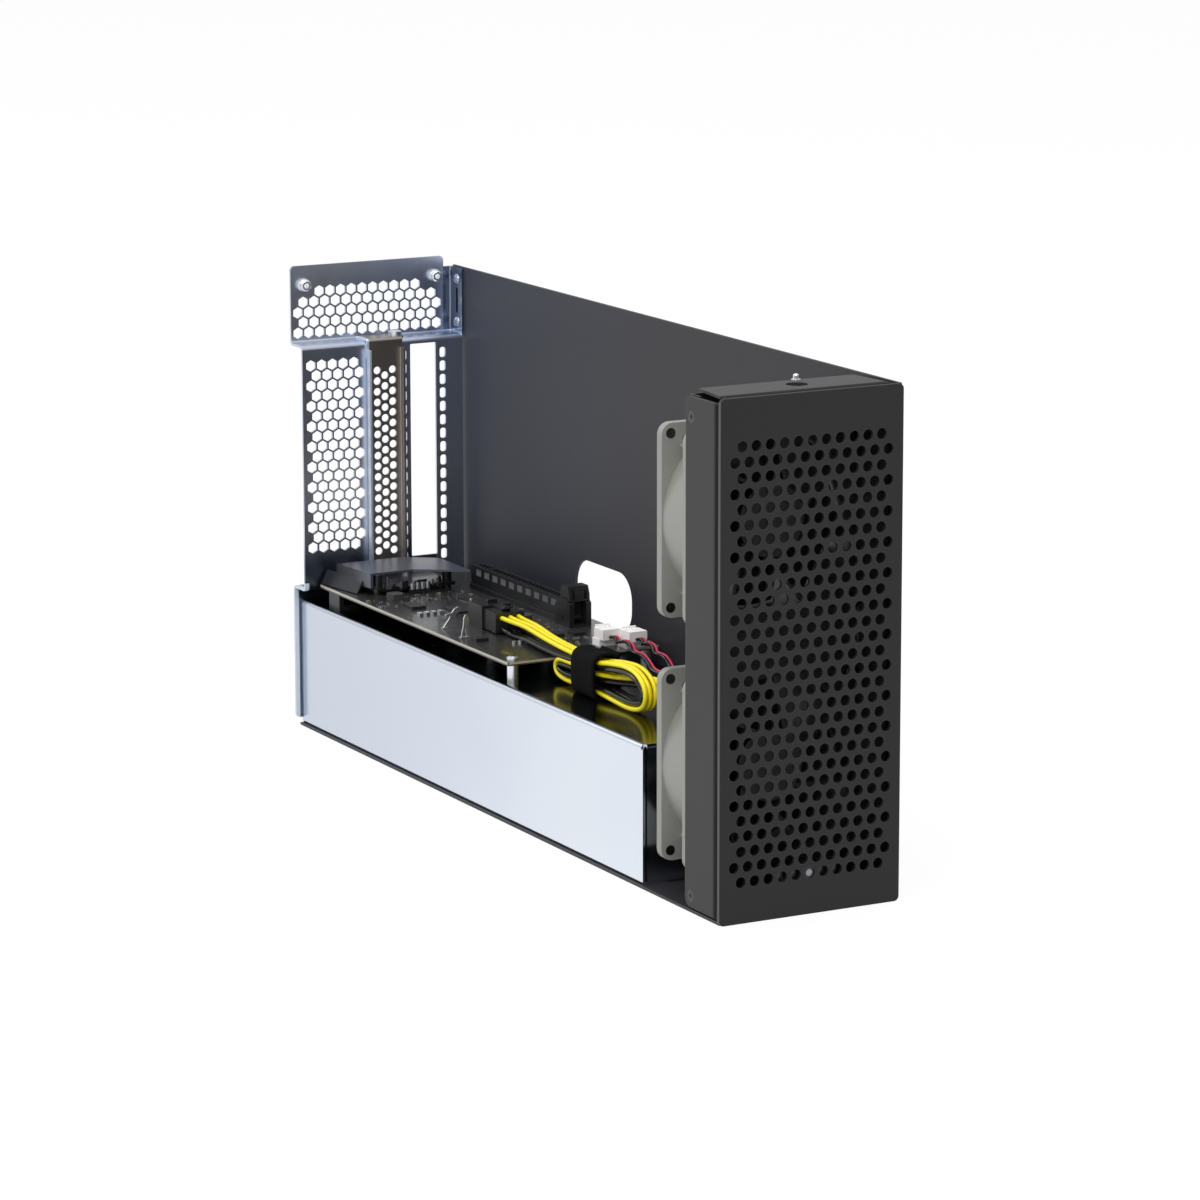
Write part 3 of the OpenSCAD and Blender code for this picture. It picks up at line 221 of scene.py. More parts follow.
def studio_floor():
    bm = bmesh.new()
    bmesh.ops.create_grid(bm, x_segments=1, y_segments=1, size=floor_reach)
    bmesh.ops.translate(bm, verts=bm.verts, vec=(0, 0, -floor_drop))
    mesh = bpy.data.meshes.new("studio_floor")
    bm.to_mesh(mesh)
    bm.free()
    floor = bpy.data.objects.new("studio_floor", mesh)
    bpy.context.scene.collection.objects.link(floor)
    paper = Finish("studio paper", (0.8, 0.8, 0.8, 1), 0.9)
    rays = paper.tree.nodes.new("ShaderNodeLightPath")
    glow = paper.tree.nodes.new("ShaderNodeEmission")
    glow.inputs["Color"].default_value = (1, 1, 1, 1)
    glow.inputs["Strength"].default_value = white_level
    seen = Socket(paper, rays.outputs["Is Camera Ray"])
    mirrored = Socket(paper, rays.outputs["Is Glossy Ray"])
    through = Socket(paper, rays.outputs["Is Transmission Ray"])
    share = seen * glow_seen + mirrored * glow_mirrored + through * glow_through
    joined = paper.tree.nodes.new("ShaderNodeMixShader")
    paper.tree.links.new(share.output, joined.inputs[0])
    paper.tree.links.new(paper.shader.outputs[0], joined.inputs[1])
    paper.tree.links.new(glow.outputs[0], joined.inputs[2])
    paper.tree.links.new(joined.outputs[0], paper.tree.nodes["Material Output"].inputs[0])
    mesh.materials.append(paper.material)


studio_floor()
print("floor laid")

# %% [markdown]
# ## Light
# The world is an even grey-white sky. The camera sees it as plain white, and mirrors see
# half of that. A large soft lamp from the front left, one overhead and a weaker one from
# behind give the sheets their slow gradients.

# %% World and lamps
sky_level, mirrored_white = 0.62, 0.5
world = bpy.data.worlds.new("studio_world")
bpy.context.scene.world = world
world.use_nodes = True
sky = world.node_tree
sky.nodes.clear()
sky_out = sky.nodes.new("ShaderNodeOutputWorld")
sky_light = sky.nodes.new("ShaderNodeBackground")
sky_seen = sky.nodes.new("ShaderNodeBackground")
sky_light.inputs[0].default_value = (0.97, 0.985, 1.0, 1)
sky_light.inputs[1].default_value = sky_level
sky_seen.inputs[0].default_value = (1, 1, 1, 1)
sky_rays = sky.nodes.new("ShaderNodeLightPath")
sky_clear = sky.nodes.new("ShaderNodeMath")
sky_clear.operation = "MAXIMUM"
sky.links.new(sky_rays.outputs["Is Camera Ray"], sky_clear.inputs[0])
sky.links.new(sky_rays.outputs["Is Transmission Ray"], sky_clear.inputs[1])
sky_share = sky.nodes.new("ShaderNodeMath")
sky_share.operation = "MULTIPLY_ADD"
sky_share.use_clamp = True
sky_share.inputs[1].default_value = mirrored_white
sky.links.new(sky_rays.outputs["Is Glossy Ray"], sky_share.inputs[0])
sky.links.new(sky_clear.outputs[0], sky_share.inputs[2])
sky_mix = sky.nodes.new("ShaderNodeMixShader")
sky.links.new(sky_share.outputs[0], sky_mix.inputs[0])
sky.links.new(sky_light.outputs[0], sky_mix.inputs[1])
sky.links.new(sky_seen.outputs[0], sky_mix.inputs[2])
sky.links.new(sky_mix.outputs[0], sky_out.inputs[0])


def soft_lamp(name, place, aim, size, watts):
    lamp = bpy.data.objects.new(name, bpy.data.lights.new(name, "AREA"))
    lamp.data.shape, lamp.data.size, lamp.data.energy = "DISK", size, watts
    lamp.location = place
    lamp.rotation_euler = (Vector(aim) - Vector(place)).to_track_quat("-Z", "Y").to_euler()
    bpy.context.scene.collection.objects.link(lamp)


soft_lamp("key_lamp", (-2.4, -2.2, 2.6), (0, 0, 0.1), 2.4, 46)
soft_lamp("top_lamp", (-0.2, -0.3, 2.9), (0, 0, 0.1), 1.8, 34)
soft_lamp("rear_lamp", (-1.8, 2.4, 2.2), (0, 0, 0.1), 1.6, 24)
bpy.context.scene.view_settings.view_transform = "Standard"

# %% [markdown]
# ## Powder coat
# The case and the grille are steel with a baked powder coat. It is almost matt, with a
# fine orange-peel grain, and its sharp edges get a painted highlight, a lighter tone. The
# grain is a high noise in a Bump node, and the edges are found with a Bevel node.

# %% Powder coats


def powder_coat(name, colour, highlight_colour, roughness, rim=None, gap_shadow_y=None, cool=None):
    """rim is a place on X beyond which the lit cut edge gets a painted highlight. The place on Y
    after it ends a painted shadow in the gap at the joint, and cool is the tone that the coat
    drifts to at its rear end, a painted reflection of the zinc panel."""
    coat = Finish(name, colour, roughness, Specular_IOR_Level=0.28)
    cloud = coat.noise(9, 3)
    peel = coat.noise(1700, 3)
    # Painted highlight: sharp edges are mixed towards the lighter second colour.
    edges = coat.painted_edge_highlight(0.0006) * 0.5
    tone = coat.mix(cloud.smooth(0.3, 0.75) * 0.5, colour, scaled(colour, 1.16))
    # Painted reflection: towards its rear end the coat drifts to the cool tone.
    if cool is not None:
        tone = coat.mix(coat.axis("Y").smooth(-0.05, 0.19), tone, cool)
    # Painted highlight on the cut edge beyond the rim place on X, as if lit from the left.
    if rim is not None:
        edges = edges + (coat.axis("X") < rim)
    matt = 0
    # Painted shadow: the gap at the joint goes nearly black up to the place on Y.
    if gap_shadow_y is not None:
        shadow = 1 - coat.axis("Y").smooth(gap_shadow_y - 0.003, gap_shadow_y)
        tone = coat.mix(shadow, tone, (0.002, 0.002, 0.002, 1))
        matt = shadow * 0.4
    coat.set("Base Color", coat.mix(edges, tone, highlight_colour))
    coat.set("Roughness", roughness + matt + (cloud - 0.5) * 0.14 + (peel - 0.5) * 0.12)
    coat.set("Normal", coat.bump(peel, 0.16, 0.0002))
    return coat.material


case_coat = powder_coat("case powder coat", *shades("#2f2e32", "#67676c"), 0.46,
                        cool=shade("#31343e"))
grille_coat = powder_coat("grille powder coat", *shades("#212122", "#4f4f4e"), 0.52,
                          rim=corner.x - 0.0008)
frame_coat = powder_coat("frame powder coat", *shades("#323231", "#6f6e68"), 0.5,
                         gap_shadow_y=corner.y + 0.0086)
plate_coat = powder_coat("fan plate powder coat", *shades("#1c1d1f", "#404244"), 0.5)
print("powder coats made")

# %% [markdown]
# ## Zinc
# The rear panel is blue passivated zinc: a dark mirror with a blue cast that drifts to
# grey over the sheet. The tray is bright zinc, rolled along its length. Both are
# metallic, with long streaks in the rolling direction that only just bend reflections.
# The small studio can't give every dark reflection that the real object shows, so a few
# regions of a sheet have a tone of their own: painted dark reflections, and painted
# highlights on the strip beside the tray and on the cover rim.

# %% Zinc and plated steel


def rolled_zinc(name, tones, roughness, streak, along, blotch=7.0, dents=0.02, regions=()):
    """A region is a mask of the finish with its tone, its added roughness and how matt it is;
    the region tones are painted dark reflections and painted highlights.
    """
    zinc = Finish(name, tones[0], roughness, Metallic=1.0)
    long_axis = [1500, 1500, 1500]
    long_axis["XYZ".index(along)] = 14
    rolled = zinc.noise(1.0, 3, zinc.stretched(long_axis))
    drift = zinc.noise(blotch, 3)
    stain = zinc.noise(60, 4)
    stops = list(zip((0.3, 0.5, 0.7), tones))
    tone = zinc.node("ShaderNodeValToRGB", {"stops": stops}, drift)
    rough = roughness + (rolled - 0.5) * streak + (stain - 0.5) * 0.10
    metal = 1.0
    for mask, region_tone, rougher, matt in regions:
        share = mask(zinc)
        tone = zinc.mix(share, tone, region_tone)
        rough = rough + share * rougher
        if matt:
            metal = metal - share * matt
            zinc.set("Metallic", metal)
    # Painted highlight: sharp edges are mixed towards the lightest tone.
    zinc.set("Base Color", zinc.mix(zinc.painted_edge_highlight(0.0005) * 0.6, tone, tones[3]))
    zinc.set("Roughness", rough)
    bend = zinc.bump(drift, dents, 0.02)
    zinc.set("Normal", zinc.bump(rolled, streak * 0.25, 0.0002, bend))
    return zinc.material


# Painted darker reflection: the tray's tone grows darker towards its rear.
def towards_rear(zinc):
    return zinc.axis("Y").smooth(-0.12, 0.19)


# Painted dark reflection on the top face of the tray.
def tray_roof(zinc):
    return zinc.axis("Z") > nodes_top["tray"] - half_sheet


# Painted highlight: the strip of the panel beside the tray is lighter and less metallic.
def strip_beside_tray(zinc):
    return (zinc.axis("X") < corner.x) * (zinc.axis("Z") < 0.07)


# Painted dark reflection on the panel's flange along the side wall.
def side_flange(zinc):
    return (zinc.axis("X") > corner.x + 0.0765) * (zinc.axis("Z") > 0.1825)


# Painted dark reflection on the lower panel below the vents, away from the wall.
def below_vents(zinc):
    off_wall = 1 - (zinc.axis("X") > corner.x + 0.066) * (zinc.axis("Z") > 0.0705)
    return off_wall * (1 - zinc.axis("Z").smooth(0.076, 0.094))


# Painted highlight along the rim of the slot cover.
def cover_rim(zinc):
    return zinc.axis("X") < corner.x + 0.0317


nodes_top = {name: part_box(name)[1][2] for name in ("tray",)}
half_sheet = 0.0004
panel_zinc = rolled_zinc(
    "blue zinc panel", shades("#a6b3d0", "#bdc7dc", "#cfd3db", "#e8f0fd"), 0.3, 0.05, "Z",
    regions=[(below_vents, shade("#6a7386"), 0.0, 0),
             (strip_beside_tray, shade("#ccd3de"), 0.3, 0.85),
             (side_flange, shade("#7f899b"), -0.08, 0)])
tray_zinc = rolled_zinc(
    "bright zinc tray", shades("#d3dbe8", "#dee5ef", "#e6eaf0", "#f1f5fb"), 0.2, 0.08, "Y",
    4.0, 0.012, regions=[(towards_rear, shade("#c9d0dc"), 0.0, 0),
                         (tray_roof, shade("#6b6f74"), -0.04, 0)])
cover_nickel = rolled_zinc(
    "dark nickel cover", shades("#8d857f", "#a19891", "#b1aca8", "#dfe8f2"), 0.36, 0.06, "Z",
    regions=[(cover_rim, shade("#dfe8f2"), 0.2, 0)])
supply_zinc = rolled_zinc(
    "supply case", shades("#a9acb0", "#b7babd", "#c0c2c4", "#dfe1e2"), 0.35, 0.12, "X", 30.0)


def plated(name, colour, roughness, grime=0.5):
    steel = Finish(name, colour, roughness, Metallic=1.0)
    spots = steel.noise(420, 4)
    steel.set("Base Color", steel.mix(spots.smooth(0.45, 0.8) * grime, colour,
                                      scaled(colour, 0.55)))
    steel.set("Roughness", roughness + (spots - 0.5) * 0.2)
    steel.set("Normal", steel.bump(steel.noise(2500, 2), 0.05, 0.0001))
    return steel.material


bright_steel = plated("bright plated steel", shade("#e6e9f0"), 0.3, 0.3)
tin = plated("tin plate", shade("#c9c9cc"), 0.42, 0.3)
screw_black = plated("black oxide", shade("#3a3a3b"), 0.38)
screw_grey = plated("grey oxide", shade("#545457"), 0.34)
rivet_steel = plated("rivet zinc", shade("#9aa3b3"), 0.28)
gold_blade = plated("gold contact", shade("#e8c471"), 0.25, 0.3)
print("metals made")

# %% [markdown]
# ## Plastics and boards
# Moulded parts carry a spark-eroded grain, and their sharp edges get a painted highlight. The
# printed boards are glossy black lacquer over copper, so traces stand up as faint lighter ridges.
# Cells of straight lines, turned by a random value per cell, read as routed traces.

# %% Moulded plastics


def moulded(name, colour, roughness, grain=0.12, scale=1400, edge=0.25,
            shade_mask=None, dark=None, **constants):
    """shade_mask marks the places that the light hardly reaches, and dark is the painted shade
    they get. Sharp edges get a painted highlight, as strong as edge gives.
    """
    plastic = Finish(name, colour, roughness, **constants)
    fine = plastic.noise(scale, 3)
    wide = plastic.noise(45, 3)
    light = tuple(min(1, c * 1.5 + 0.02) for c in colour[:3]) + (1,)
    tone = plastic.mix((wide - 0.5) * 0.5 + 0.25, colour, scaled(colour, 1.2))
    # Painted highlight: sharp edges are mixed towards a lighter copy of the colour.
    tone = plastic.mix(plastic.painted_edge_highlight(0.0005) * edge, tone, light)
    if shade_mask is not None:
        tone = plastic.mix(shade_mask(plastic), tone, dark)
    plastic.set("Base Color", tone)
    plastic.set("Roughness", roughness + (wide - 0.5) * 0.16 + (fine - 0.5) * 0.12)
    plastic.set("Normal", plastic.bump(fine, grain, 0.0001))
    return plastic.material


def fan_duct(plastic):
    """Painted shade inside either fan's duct, and on the face round it that only the grille sees.
    """
    middle_x, duct_r = 0.0414, 0.0386
    within = 0
    for height in (0.0546, 0.1556):
        across = plastic.axis("X") - (corner.x + middle_x)
        up = plastic.axis("Z") - height
        within = within + (across * across + up * up < duct_r ** 2)
    return within + (plastic.axis("Y") < corner.y + 0.0295)


def under_shield(plastic):
    """Painted shade on the skirt at the near side, and on the posts and walls below the roof."""
    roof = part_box("module_shield")[1][2] - 0.0013
    skirt = 1 - plastic.axis("X").smooth(corner.x + 0.011, corner.x + 0.0135)
    inside = (plastic.axis("X") > corner.x + 0.0156) * (plastic.axis("Z") < roof)
    return skirt + inside


fan_plastic = moulded("fan frame plastic", shade("#8c8c86"), 0.5, 0.2, 900, 0.5,
                      shade_mask=fan_duct, dark=shade("#262725"))
rotor_plastic = moulded("rotor plastic", shade("#171e20"), 0.34)
socket_plastic = moulded("connector plastic", shade("#191a1b"), 0.36, edge=0.8)
plug_plastic = moulded("plug plastic", shade("#1d1d1f"), 0.4, 0.16)
nylon = moulded("white nylon", shade("#fdfcfa"), 0.4, 0.06, 1400, 0.1)
ferrite = moulded("ferrite block", shade("#3c3b3a"), 0.55, 0.3)
package = moulded("chip package", shade("#1c1c1d"), 0.45, 0.2, 2200)
shield_coat = moulded("module shield", shade("#565964"), 0.32, 0.1, 1800, 0.9,
                      shade_mask=under_shield, dark=shade("#26272b"), Metallic=0.5)

# %% Printed boards


def printed_board(name, lacquer, copper, rim=None):
    """rim is the tone of the sawn edge at the near and front sides of the large board."""
    board = Finish(name, lacquer, 0.24, Coat_Weight=0.25)
    flat = board.stretched((1, 1, 0))
    cell = board.node("ShaderNodeTexVoronoi", {"distance": "CHEBYCHEV", "voronoi_dimensions": "2D"},
                      at={"Vector": flat, "Scale": 95.0, "Randomness": 0.85}, out=1)
    pick = board.axis("X", cell)
    traces_per_m, line_share = 1150, 0.4
    across = board.axis("X") * traces_per_m
    along = board.axis("Y") * traces_per_m
    lines = ((across.fract() < line_share) * (pick < 0.5)
             + (along.fract() < line_share) * (pick > 0.5))
    busy = board.noise(32, 2).smooth(0.42, 0.62)
    traces = lines * busy
    dots = board.node("ShaderNodeTexVoronoi", {"voronoi_dimensions": "2D"},
                      at={"Vector": flat, "Scale": 330.0, "Randomness": 0.9}, out=0)
    vias = (dots < 0.16) * board.noise(70, 1).smooth(0.5, 0.6)
    tone = board.mix(traces * 0.4, lacquer, copper)
    tone = board.mix(vias * 0.5, tone, shade("#5d5b54"))
    if rim is not None:
        sawn = (board.axis("X") < corner.x + 0.0046) + (board.axis("Y") < corner.y + 0.1942)
        tone = board.mix(sawn * (board.axis("Z") > 0.0685), tone, rim)
    board.set("Base Color", tone)
    board.set("Roughness", 0.24 + traces * 0.06 + board.noise(120, 3) * 0.08)
    board.set("Normal", board.bump(traces + vias * 2, 0.2, 0.00006))
    return board.material


black_board = printed_board("black printed board", *shades("#2a2929", "#343434", "#a8a190"))
module_lacquer = printed_board("small board lacquer", *shades("#131312", "#1d1d1b"))
print("plastics and boards made")

# %% Light pipe


def lens_rim(plastic):
    low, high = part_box("led_lens")
    across = plastic.axis("X") - (low[0] + high[0]) / 2
    up = plastic.axis("Z") - (low[2] + high[2]) / 2
    clear_r = 0.0015
    return (across * across + up * up) > clear_r ** 2


light_pipe = moulded("light pipe", shade("#a2a5ad"), 0.15, 0.02, 600, 0.1,
                     shade_mask=lens_rim, dark=shade("#1c1c1e"), Transmission_Weight=0.3, IOR=1.49)

# %% [markdown]
# ## Dress the CAD nodes
# Each rigid node keeps its mesh and takes the finish of the real piece. Only the wires
# and the strap are replaced below, and small parts are added.

# %% Finish of each node
finish_of = {
    case_coat: ["chassis_body"],
    grille_coat: ["front_grille"],
    frame_coat: ["front_frame"],
    plate_coat: ["fan_plate"],
    screw_black: ["fan_screws"],
    screw_grey: ["frame_screws"],
    bright_steel: ["grille_nuts", "cover_stud", "cover_nuts", "bracket_screw", "tray_screws",
                   "board_spacers", "board_screws", "host_ports", "board_capacitors"],
    tin: ["board_clips"],
    rivet_steel: ["rear_rivets"],
    light_pipe: ["led_lens"],
    fan_plastic: ["upper_fan_frame", "lower_fan_frame"],
    rotor_plastic: ["upper_fan_rotor", "lower_fan_rotor"],
    panel_zinc: ["rear_panel"],
    cover_nickel: ["slot_cover"],
    tray_zinc: ["tray"],
    supply_zinc: ["power_supply"],
    socket_plastic: ["mains_inlet", "slot_connector", "slot_latch", "power_header",
                     "board_support", "module_link"],
    plug_plastic: ["power_plug"],
    gold_blade: ["inlet_pins"],
    black_board: ["carrier_board"],
    module_lacquer: ["module_board", "led_board"],
    shield_coat: ["module_shield"],
    nylon: ["fan_headers", "fan_plugs"],
    package: ["board_chips"],
    ferrite: ["board_coils"],
}
for material, names in finish_of.items():
    for name in names:
        mesh = nodes[name].data
        if mesh.materials:
            mesh.materials[0] = material
        else:
            mesh.materials.append(material)
print("dressed:", sum(len(v) for v in finish_of.values()), "of", len(nodes))

# %% [markdown]
# ## Wires
# The power loom is six PVC wires from a plug on the board: three yellow above three
# black, folded back twice inside a strap before they drop into the tray. In CAD they are
# eight-sided tubes. Here each wire is a smooth round sweep along nearly the same route,
# which lies lower on its last climb. Each has a lane of its own and a slow wander, because
# real wires never lie quite parallel.

# %% Wire insulation


def insulation(name, colour, roughness):
    skin = Finish(name, colour, roughness)
    scuff = skin.noise(260, 4)
    skin.set("Base Color", skin.mix(scuff.smooth(0.4, 0.8) * 0.5, colour, scaled(colour, 0.8)))
    skin.set("Roughness", roughness + (scuff - 0.5) * 0.2)
    skin.set("Normal", skin.bump(skin.noise(900, 2), 0.06, 0.0002))
    return skin.material


yellow_skin = insulation("yellow wire skin", shade("#fbe80a"), 0.34)
black_skin = insulation("black wire skin", shade("#0e0e10"), 0.2)
red_skin = insulation("red wire skin", shade("#c02a50"), 0.34)

# %% Sweep a wire


def chassis_point(point):
    """A point in millimetres from the near front bottom corner, in the frame's metres."""
    return Vector(point) / 1000 + corner


def curve_through(points, steps):
    """Points of a smooth curve through the given ones."""
    made = []
    last = len(points) - 1
    for i in range(last):
        a, b, c, d = points[max(i - 1, 0)], points[i], points[i + 1], points[min(i + 2, last)]
        for j in range(steps):
            t = j / steps
            made.append((2 * b + (c - a) * t + (2 * a - 5 * b + 4 * c - d) * t * t
                         + (3 * b - a - 3 * c + d) * t ** 3) * 0.5)
    return made + [points[-1]]


def sweep(name, paths, radius, material, sides=12):
    """One mesh of round tubes, each made by extruding a ring along its path."""
    bm = bmesh.new()
    for path in paths:
        ring, before = None, None
        for i, centre in enumerate(path):
            ahead = (path[min(i + 1, len(path) - 1)] - path[max(i - 1, 0)]).normalized()
            if ring is None:
                turn = ahead.to_track_quat("Z", "X")
                ring = bmesh.ops.create_circle(bm, segments=sides, radius=radius,
                                               cap_ends=True)["verts"]
                stand = Matrix.Translation(centre) @ turn.to_matrix().to_4x4()
                bmesh.ops.transform(bm, verts=ring, matrix=stand)
                edges = list({e for v in ring for e in v.link_edges})
            else:
                grown = bmesh.ops.extrude_edge_only(bm, edges=edges)["geom"]
                ring = [g for g in grown if isinstance(g, bmesh.types.BMVert)]
                edges = [g for g in grown if isinstance(g, bmesh.types.BMEdge)]
                swing = before[1].rotation_difference(ahead).to_matrix().to_4x4()
                move = Matrix.Translation(centre) @ swing @ Matrix.Translation(-before[0])
                bmesh.ops.transform(bm, verts=ring, matrix=move)
            before = (centre, ahead)
        bmesh.ops.contextual_create(bm, geom=edges)
    bmesh.ops.recalc_face_normals(bm, faces=bm.faces)
    return finished(name, bm, material, smooth=True)


def finished(name, bm, material, smooth=False, body="case"):
    mesh = bpy.data.meshes.new(name)
    bm.to_mesh(mesh)
    bm.free()
    mesh.materials.append(material)
    for polygon in mesh.polygons:
        polygon.use_smooth = smooth and len(polygon.vertices) < 8
    piece = bpy.data.objects.new(name, mesh)
    bpy.context.scene.collection.objects.link(piece)
    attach(piece, body)
    return piece


def lanes(route, lane, row, wide=1.0, seed=0, wander=0.35, steps=6, sag=0.0, curl=0.0):
    """The route moved aside by lane and row in millimetres, with a slow wander.

    sag lets the wire hang near its start, and curl winds it there, as a lead keeps the
    set of its spool.
    """
    rng = random.Random(seed)
    phases = [rng.uniform(0, 6.28) for _ in range(4)]
    centre = curve_through([Vector(p) for p in route], steps)
    moved = []
    for i, point in enumerate(centre):
        ahead = (centre[min(i + 1, len(centre) - 1)] - centre[max(i - 1, 0)]).normalized()
        side = (Vector((1, 0, 0)) - ahead * ahead.x).normalized()
        over = side.cross(ahead)
        span = 1 + (wide - 1) * max(0, 1 - i / (4 * steps)) if wide > 1 else 1
        drop = 1 + 0.8 * max(0, 1 - i / (6 * steps)) if wide > 1 else 1
        hang = Vector((0, 0, -sag * math.sin(math.pi * min(1, i / (6 * steps)))))
        ease = min(1, i / (3 * steps)) * min(1, (len(centre) - 1 - i) / (3 * steps))
        slip = wander * ease
        wound = curl * max(0, 1 - i / (8 * steps)) * min(1, i / steps)
        coil = i * 0.8 + phases[2]
        hang += side * wound * math.cos(coil) + over * wound * math.sin(coil)
        aside = lane * span + slip * math.sin(i * 0.11 + phases[0])
        above = row * drop + slip * 0.5 * math.sin(i * 0.17 + phases[1])
        moved.append(chassis_point(point + hang + side * aside + over * above))
    return moved


print("wire tools ready")

# %% Power loom
power_route = [
    (32.5, 246.8, 74.7), (32.5, 243, 74.7), (32.5, 238, 74.8), (30.6, 222, 75.8),
    (28, 200, 75.4), (27, 180, 74.8), (27, 165, 74.6), (27, 150, 75), (27, 136, 77),
    (26.8, 124, 78), (26.5, 115, 76.8), (26.3, 109, 73), (26.3, 108, 68.4), (26.5, 112, 64.8),
    (26.8, 121, 63.2), (27, 132, 63.5), (27, 144, 64.4), (27, 155, 64.8), (27, 168, 64.6),
    (27, 178, 64.2), (27, 185.4, 64.9), (27, 187.6, 67.3), (27, 184.6, 69.7), (27, 176, 70),
    (27, 164, 69.7), (27.3, 151, 69.8), (31, 141, 70), (35, 133.5, 70.4), (37.1, 126, 70.6),
    (38.5, 117.5, 70.6), (40.5, 108, 69.6), (43, 99.8, 67), (45.1, 97.4, 62.5), (46, 98.4, 54),
    (45.4, 108, 45), (44, 126, 38.4), (42.4, 150, 34.4), (42, 178, 32.2), (42, 204.8, 32)]
wire_r, lane_step, row_step, plug_spread = 0.00105, 2.5, 1.23, 1.68
for colour, row, sag, material in (("yellow", -row_step, 0, yellow_skin),
                                   ("black", row_step, 2.4, black_skin)):
    paths = [lanes(power_route, i * lane_step, row, plug_spread, seed=i * 7 + len(colour), sag=sag)
             for i in (-1, 0, 1)]
    wires = sweep("power_wires_" + colour + "_smooth", paths, wire_r, material)
    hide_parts("power_wires_" + colour)
print("power wires:", len(paths) * 2)

# %% Fan leads
upper_lead = [
    (67, 191.2, 74), (67, 187, 73.8), (66.6, 179, 73), (67.6, 171, 70.4), (69.6, 160, 65.4),
    (73, 130, 62.6), (75, 104, 62.6), (76.4, 84, 63.8), (77, 70, 68), (77.2, 62.4, 76),
    (77.2, 60, 88), (77.2, 59.2, 102), (77.2, 59, 113), (77.2, 58.4, 118.4), (77.2, 55.9, 118.8)]
lower_lead = [
    (59, 200.8, 74), (59, 196, 73.8), (59.8, 187, 73), (60.8, 178, 70), (63, 166, 65),
    (66, 144, 62.6), (69, 118, 62.6), (71, 92, 63.4), (72.2, 74, 67), (72.6, 63.6, 73.4),
    (73, 60, 82), (73.2, 58.8, 88), (73.2, 55.9, 88.6)]
lead_r, lead_lane = 0.0007, 0.85
for colour, lane, material in (("red", lead_lane, red_skin), ("black", -lead_lane, black_skin)):
    paths = [lanes(route, lane, 0, seed=seed, wander=0.15, curl=1.1)
             for seed, route in ((3, upper_lead), (4, lower_lead))]
    leads = sweep("fan_leads_" + colour + "_smooth", paths, lead_r, material, 10)
    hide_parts("fan_leads_" + colour)
print("fan leads: 4")

# %% [markdown]
# ## Strap
# A hook-and-loop tape holds the hank of wires. It is a closed band of woven nylon, pulled
# round the bundle, with its free end standing off. A ring of vertices is extruded along
# the bundle, pinched a little in the middle, and thickened with Solidify.

# %% Strap finish and piece
tape = Finish("hook and loop tape", shade("#101012"), 0.9, Specular_IOR_Level=0.12)
tape_fuzz = tape.noise(2600, 4)
tape_rows = tape.node("ShaderNodeTexWave", {"bands_direction": "Y"},
                      at={"Vector": tape.place, "Scale": 420.0, "Distortion": 2.0}, out=1)
tape.set("Base Color", tape.mix(tape_fuzz.smooth(0.45, 0.75), shade("#060607"), shade("#151517")))
tape.set("Normal", tape.bump(tape_fuzz + tape_rows * 0.6, 0.6, 0.0004))


def band(name, outline, y0, y1, thickness, material, closed=True, rows=6, pinch=0.0):
    """A band whose outline in X and Z, in millimetres, runs along Y."""
    bm = bmesh.new()
    points = curve_through([Vector((x, y0, z)) for x, z in outline], 4)
    if closed:
        points = points[:-1]
    ring = [bm.verts.new(chassis_point(p)) for p in points]
    count = len(ring)
    edges = [bm.edges.new((ring[i], ring[(i + 1) % count]))
             for i in range(count if closed else count - 1)]
    middle = sum((v.co for v in ring), Vector()) / count
    for _ in range(rows):
        grown = bmesh.ops.extrude_edge_only(bm, edges=edges)["geom"]
        verts = [g for g in grown if isinstance(g, bmesh.types.BMVert)]
        edges = [g for g in grown if isinstance(g, bmesh.types.BMEdge)]
        bmesh.ops.translate(bm, verts=verts, vec=(0, (y1 - y0) / 1000 / rows, 0))
    if pinch:
        for v in bm.verts:
            t = (v.co.y - chassis_point((0, y0, 0)).y) / ((y1 - y0) / 1000)
            squeeze = 1 - pinch * math.sin(math.pi * t)
            v.co.x = middle.x + (v.co.x - middle.x) * squeeze
            v.co.z = middle.z + (v.co.z - middle.z) * squeeze
    bmesh.ops.recalc_face_normals(bm, faces=bm.faces)
    bmesh.ops.solidify(bm, geom=bm.faces[:], thickness=-thickness)
    bmesh.ops.recalc_face_normals(bm, faces=bm.faces)
    return finished(name, bm, material, smooth=True)


loop_outline = [
    (23.4, 61.2), (27, 60.9), (30.6, 61.2), (32.4, 63.4), (32.8, 70), (32.4, 76.6), (30.4, 78.9),
    (27, 79.4), (23.6, 78.9), (21.6, 76.6), (21.2, 70), (21.6, 63.4), (23.4, 61.2)]
tail_outline = [(33.3, 69), (33.6, 73), (33.9, 76.6), (35.4, 79.2)]
tape_t = 0.0011
strap = band("cable_strap_band", loop_outline, 146, 166, tape_t, tape.material, True, 8, 0.03)
strap_tail = band("cable_strap_tail", tail_outline, 148, 164.5, tape_t, tape.material, False, 6)
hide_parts("cable_strap")
print("strap made")

# %% [markdown]
# ## Small parts
# A real board carries hundreds of parts under 3 mm. They have no bearing on the shape or
# the mass, so they are made here: one mesh of boxes for each kind. Chips get their
# legs, the card connector its ribs and contacts, and screws dark crosses, painted shade in
# their recesses. The ends of the fan screws fill the rear holes of the fans, which would
# show the wires otherwise.

# %% Boxes


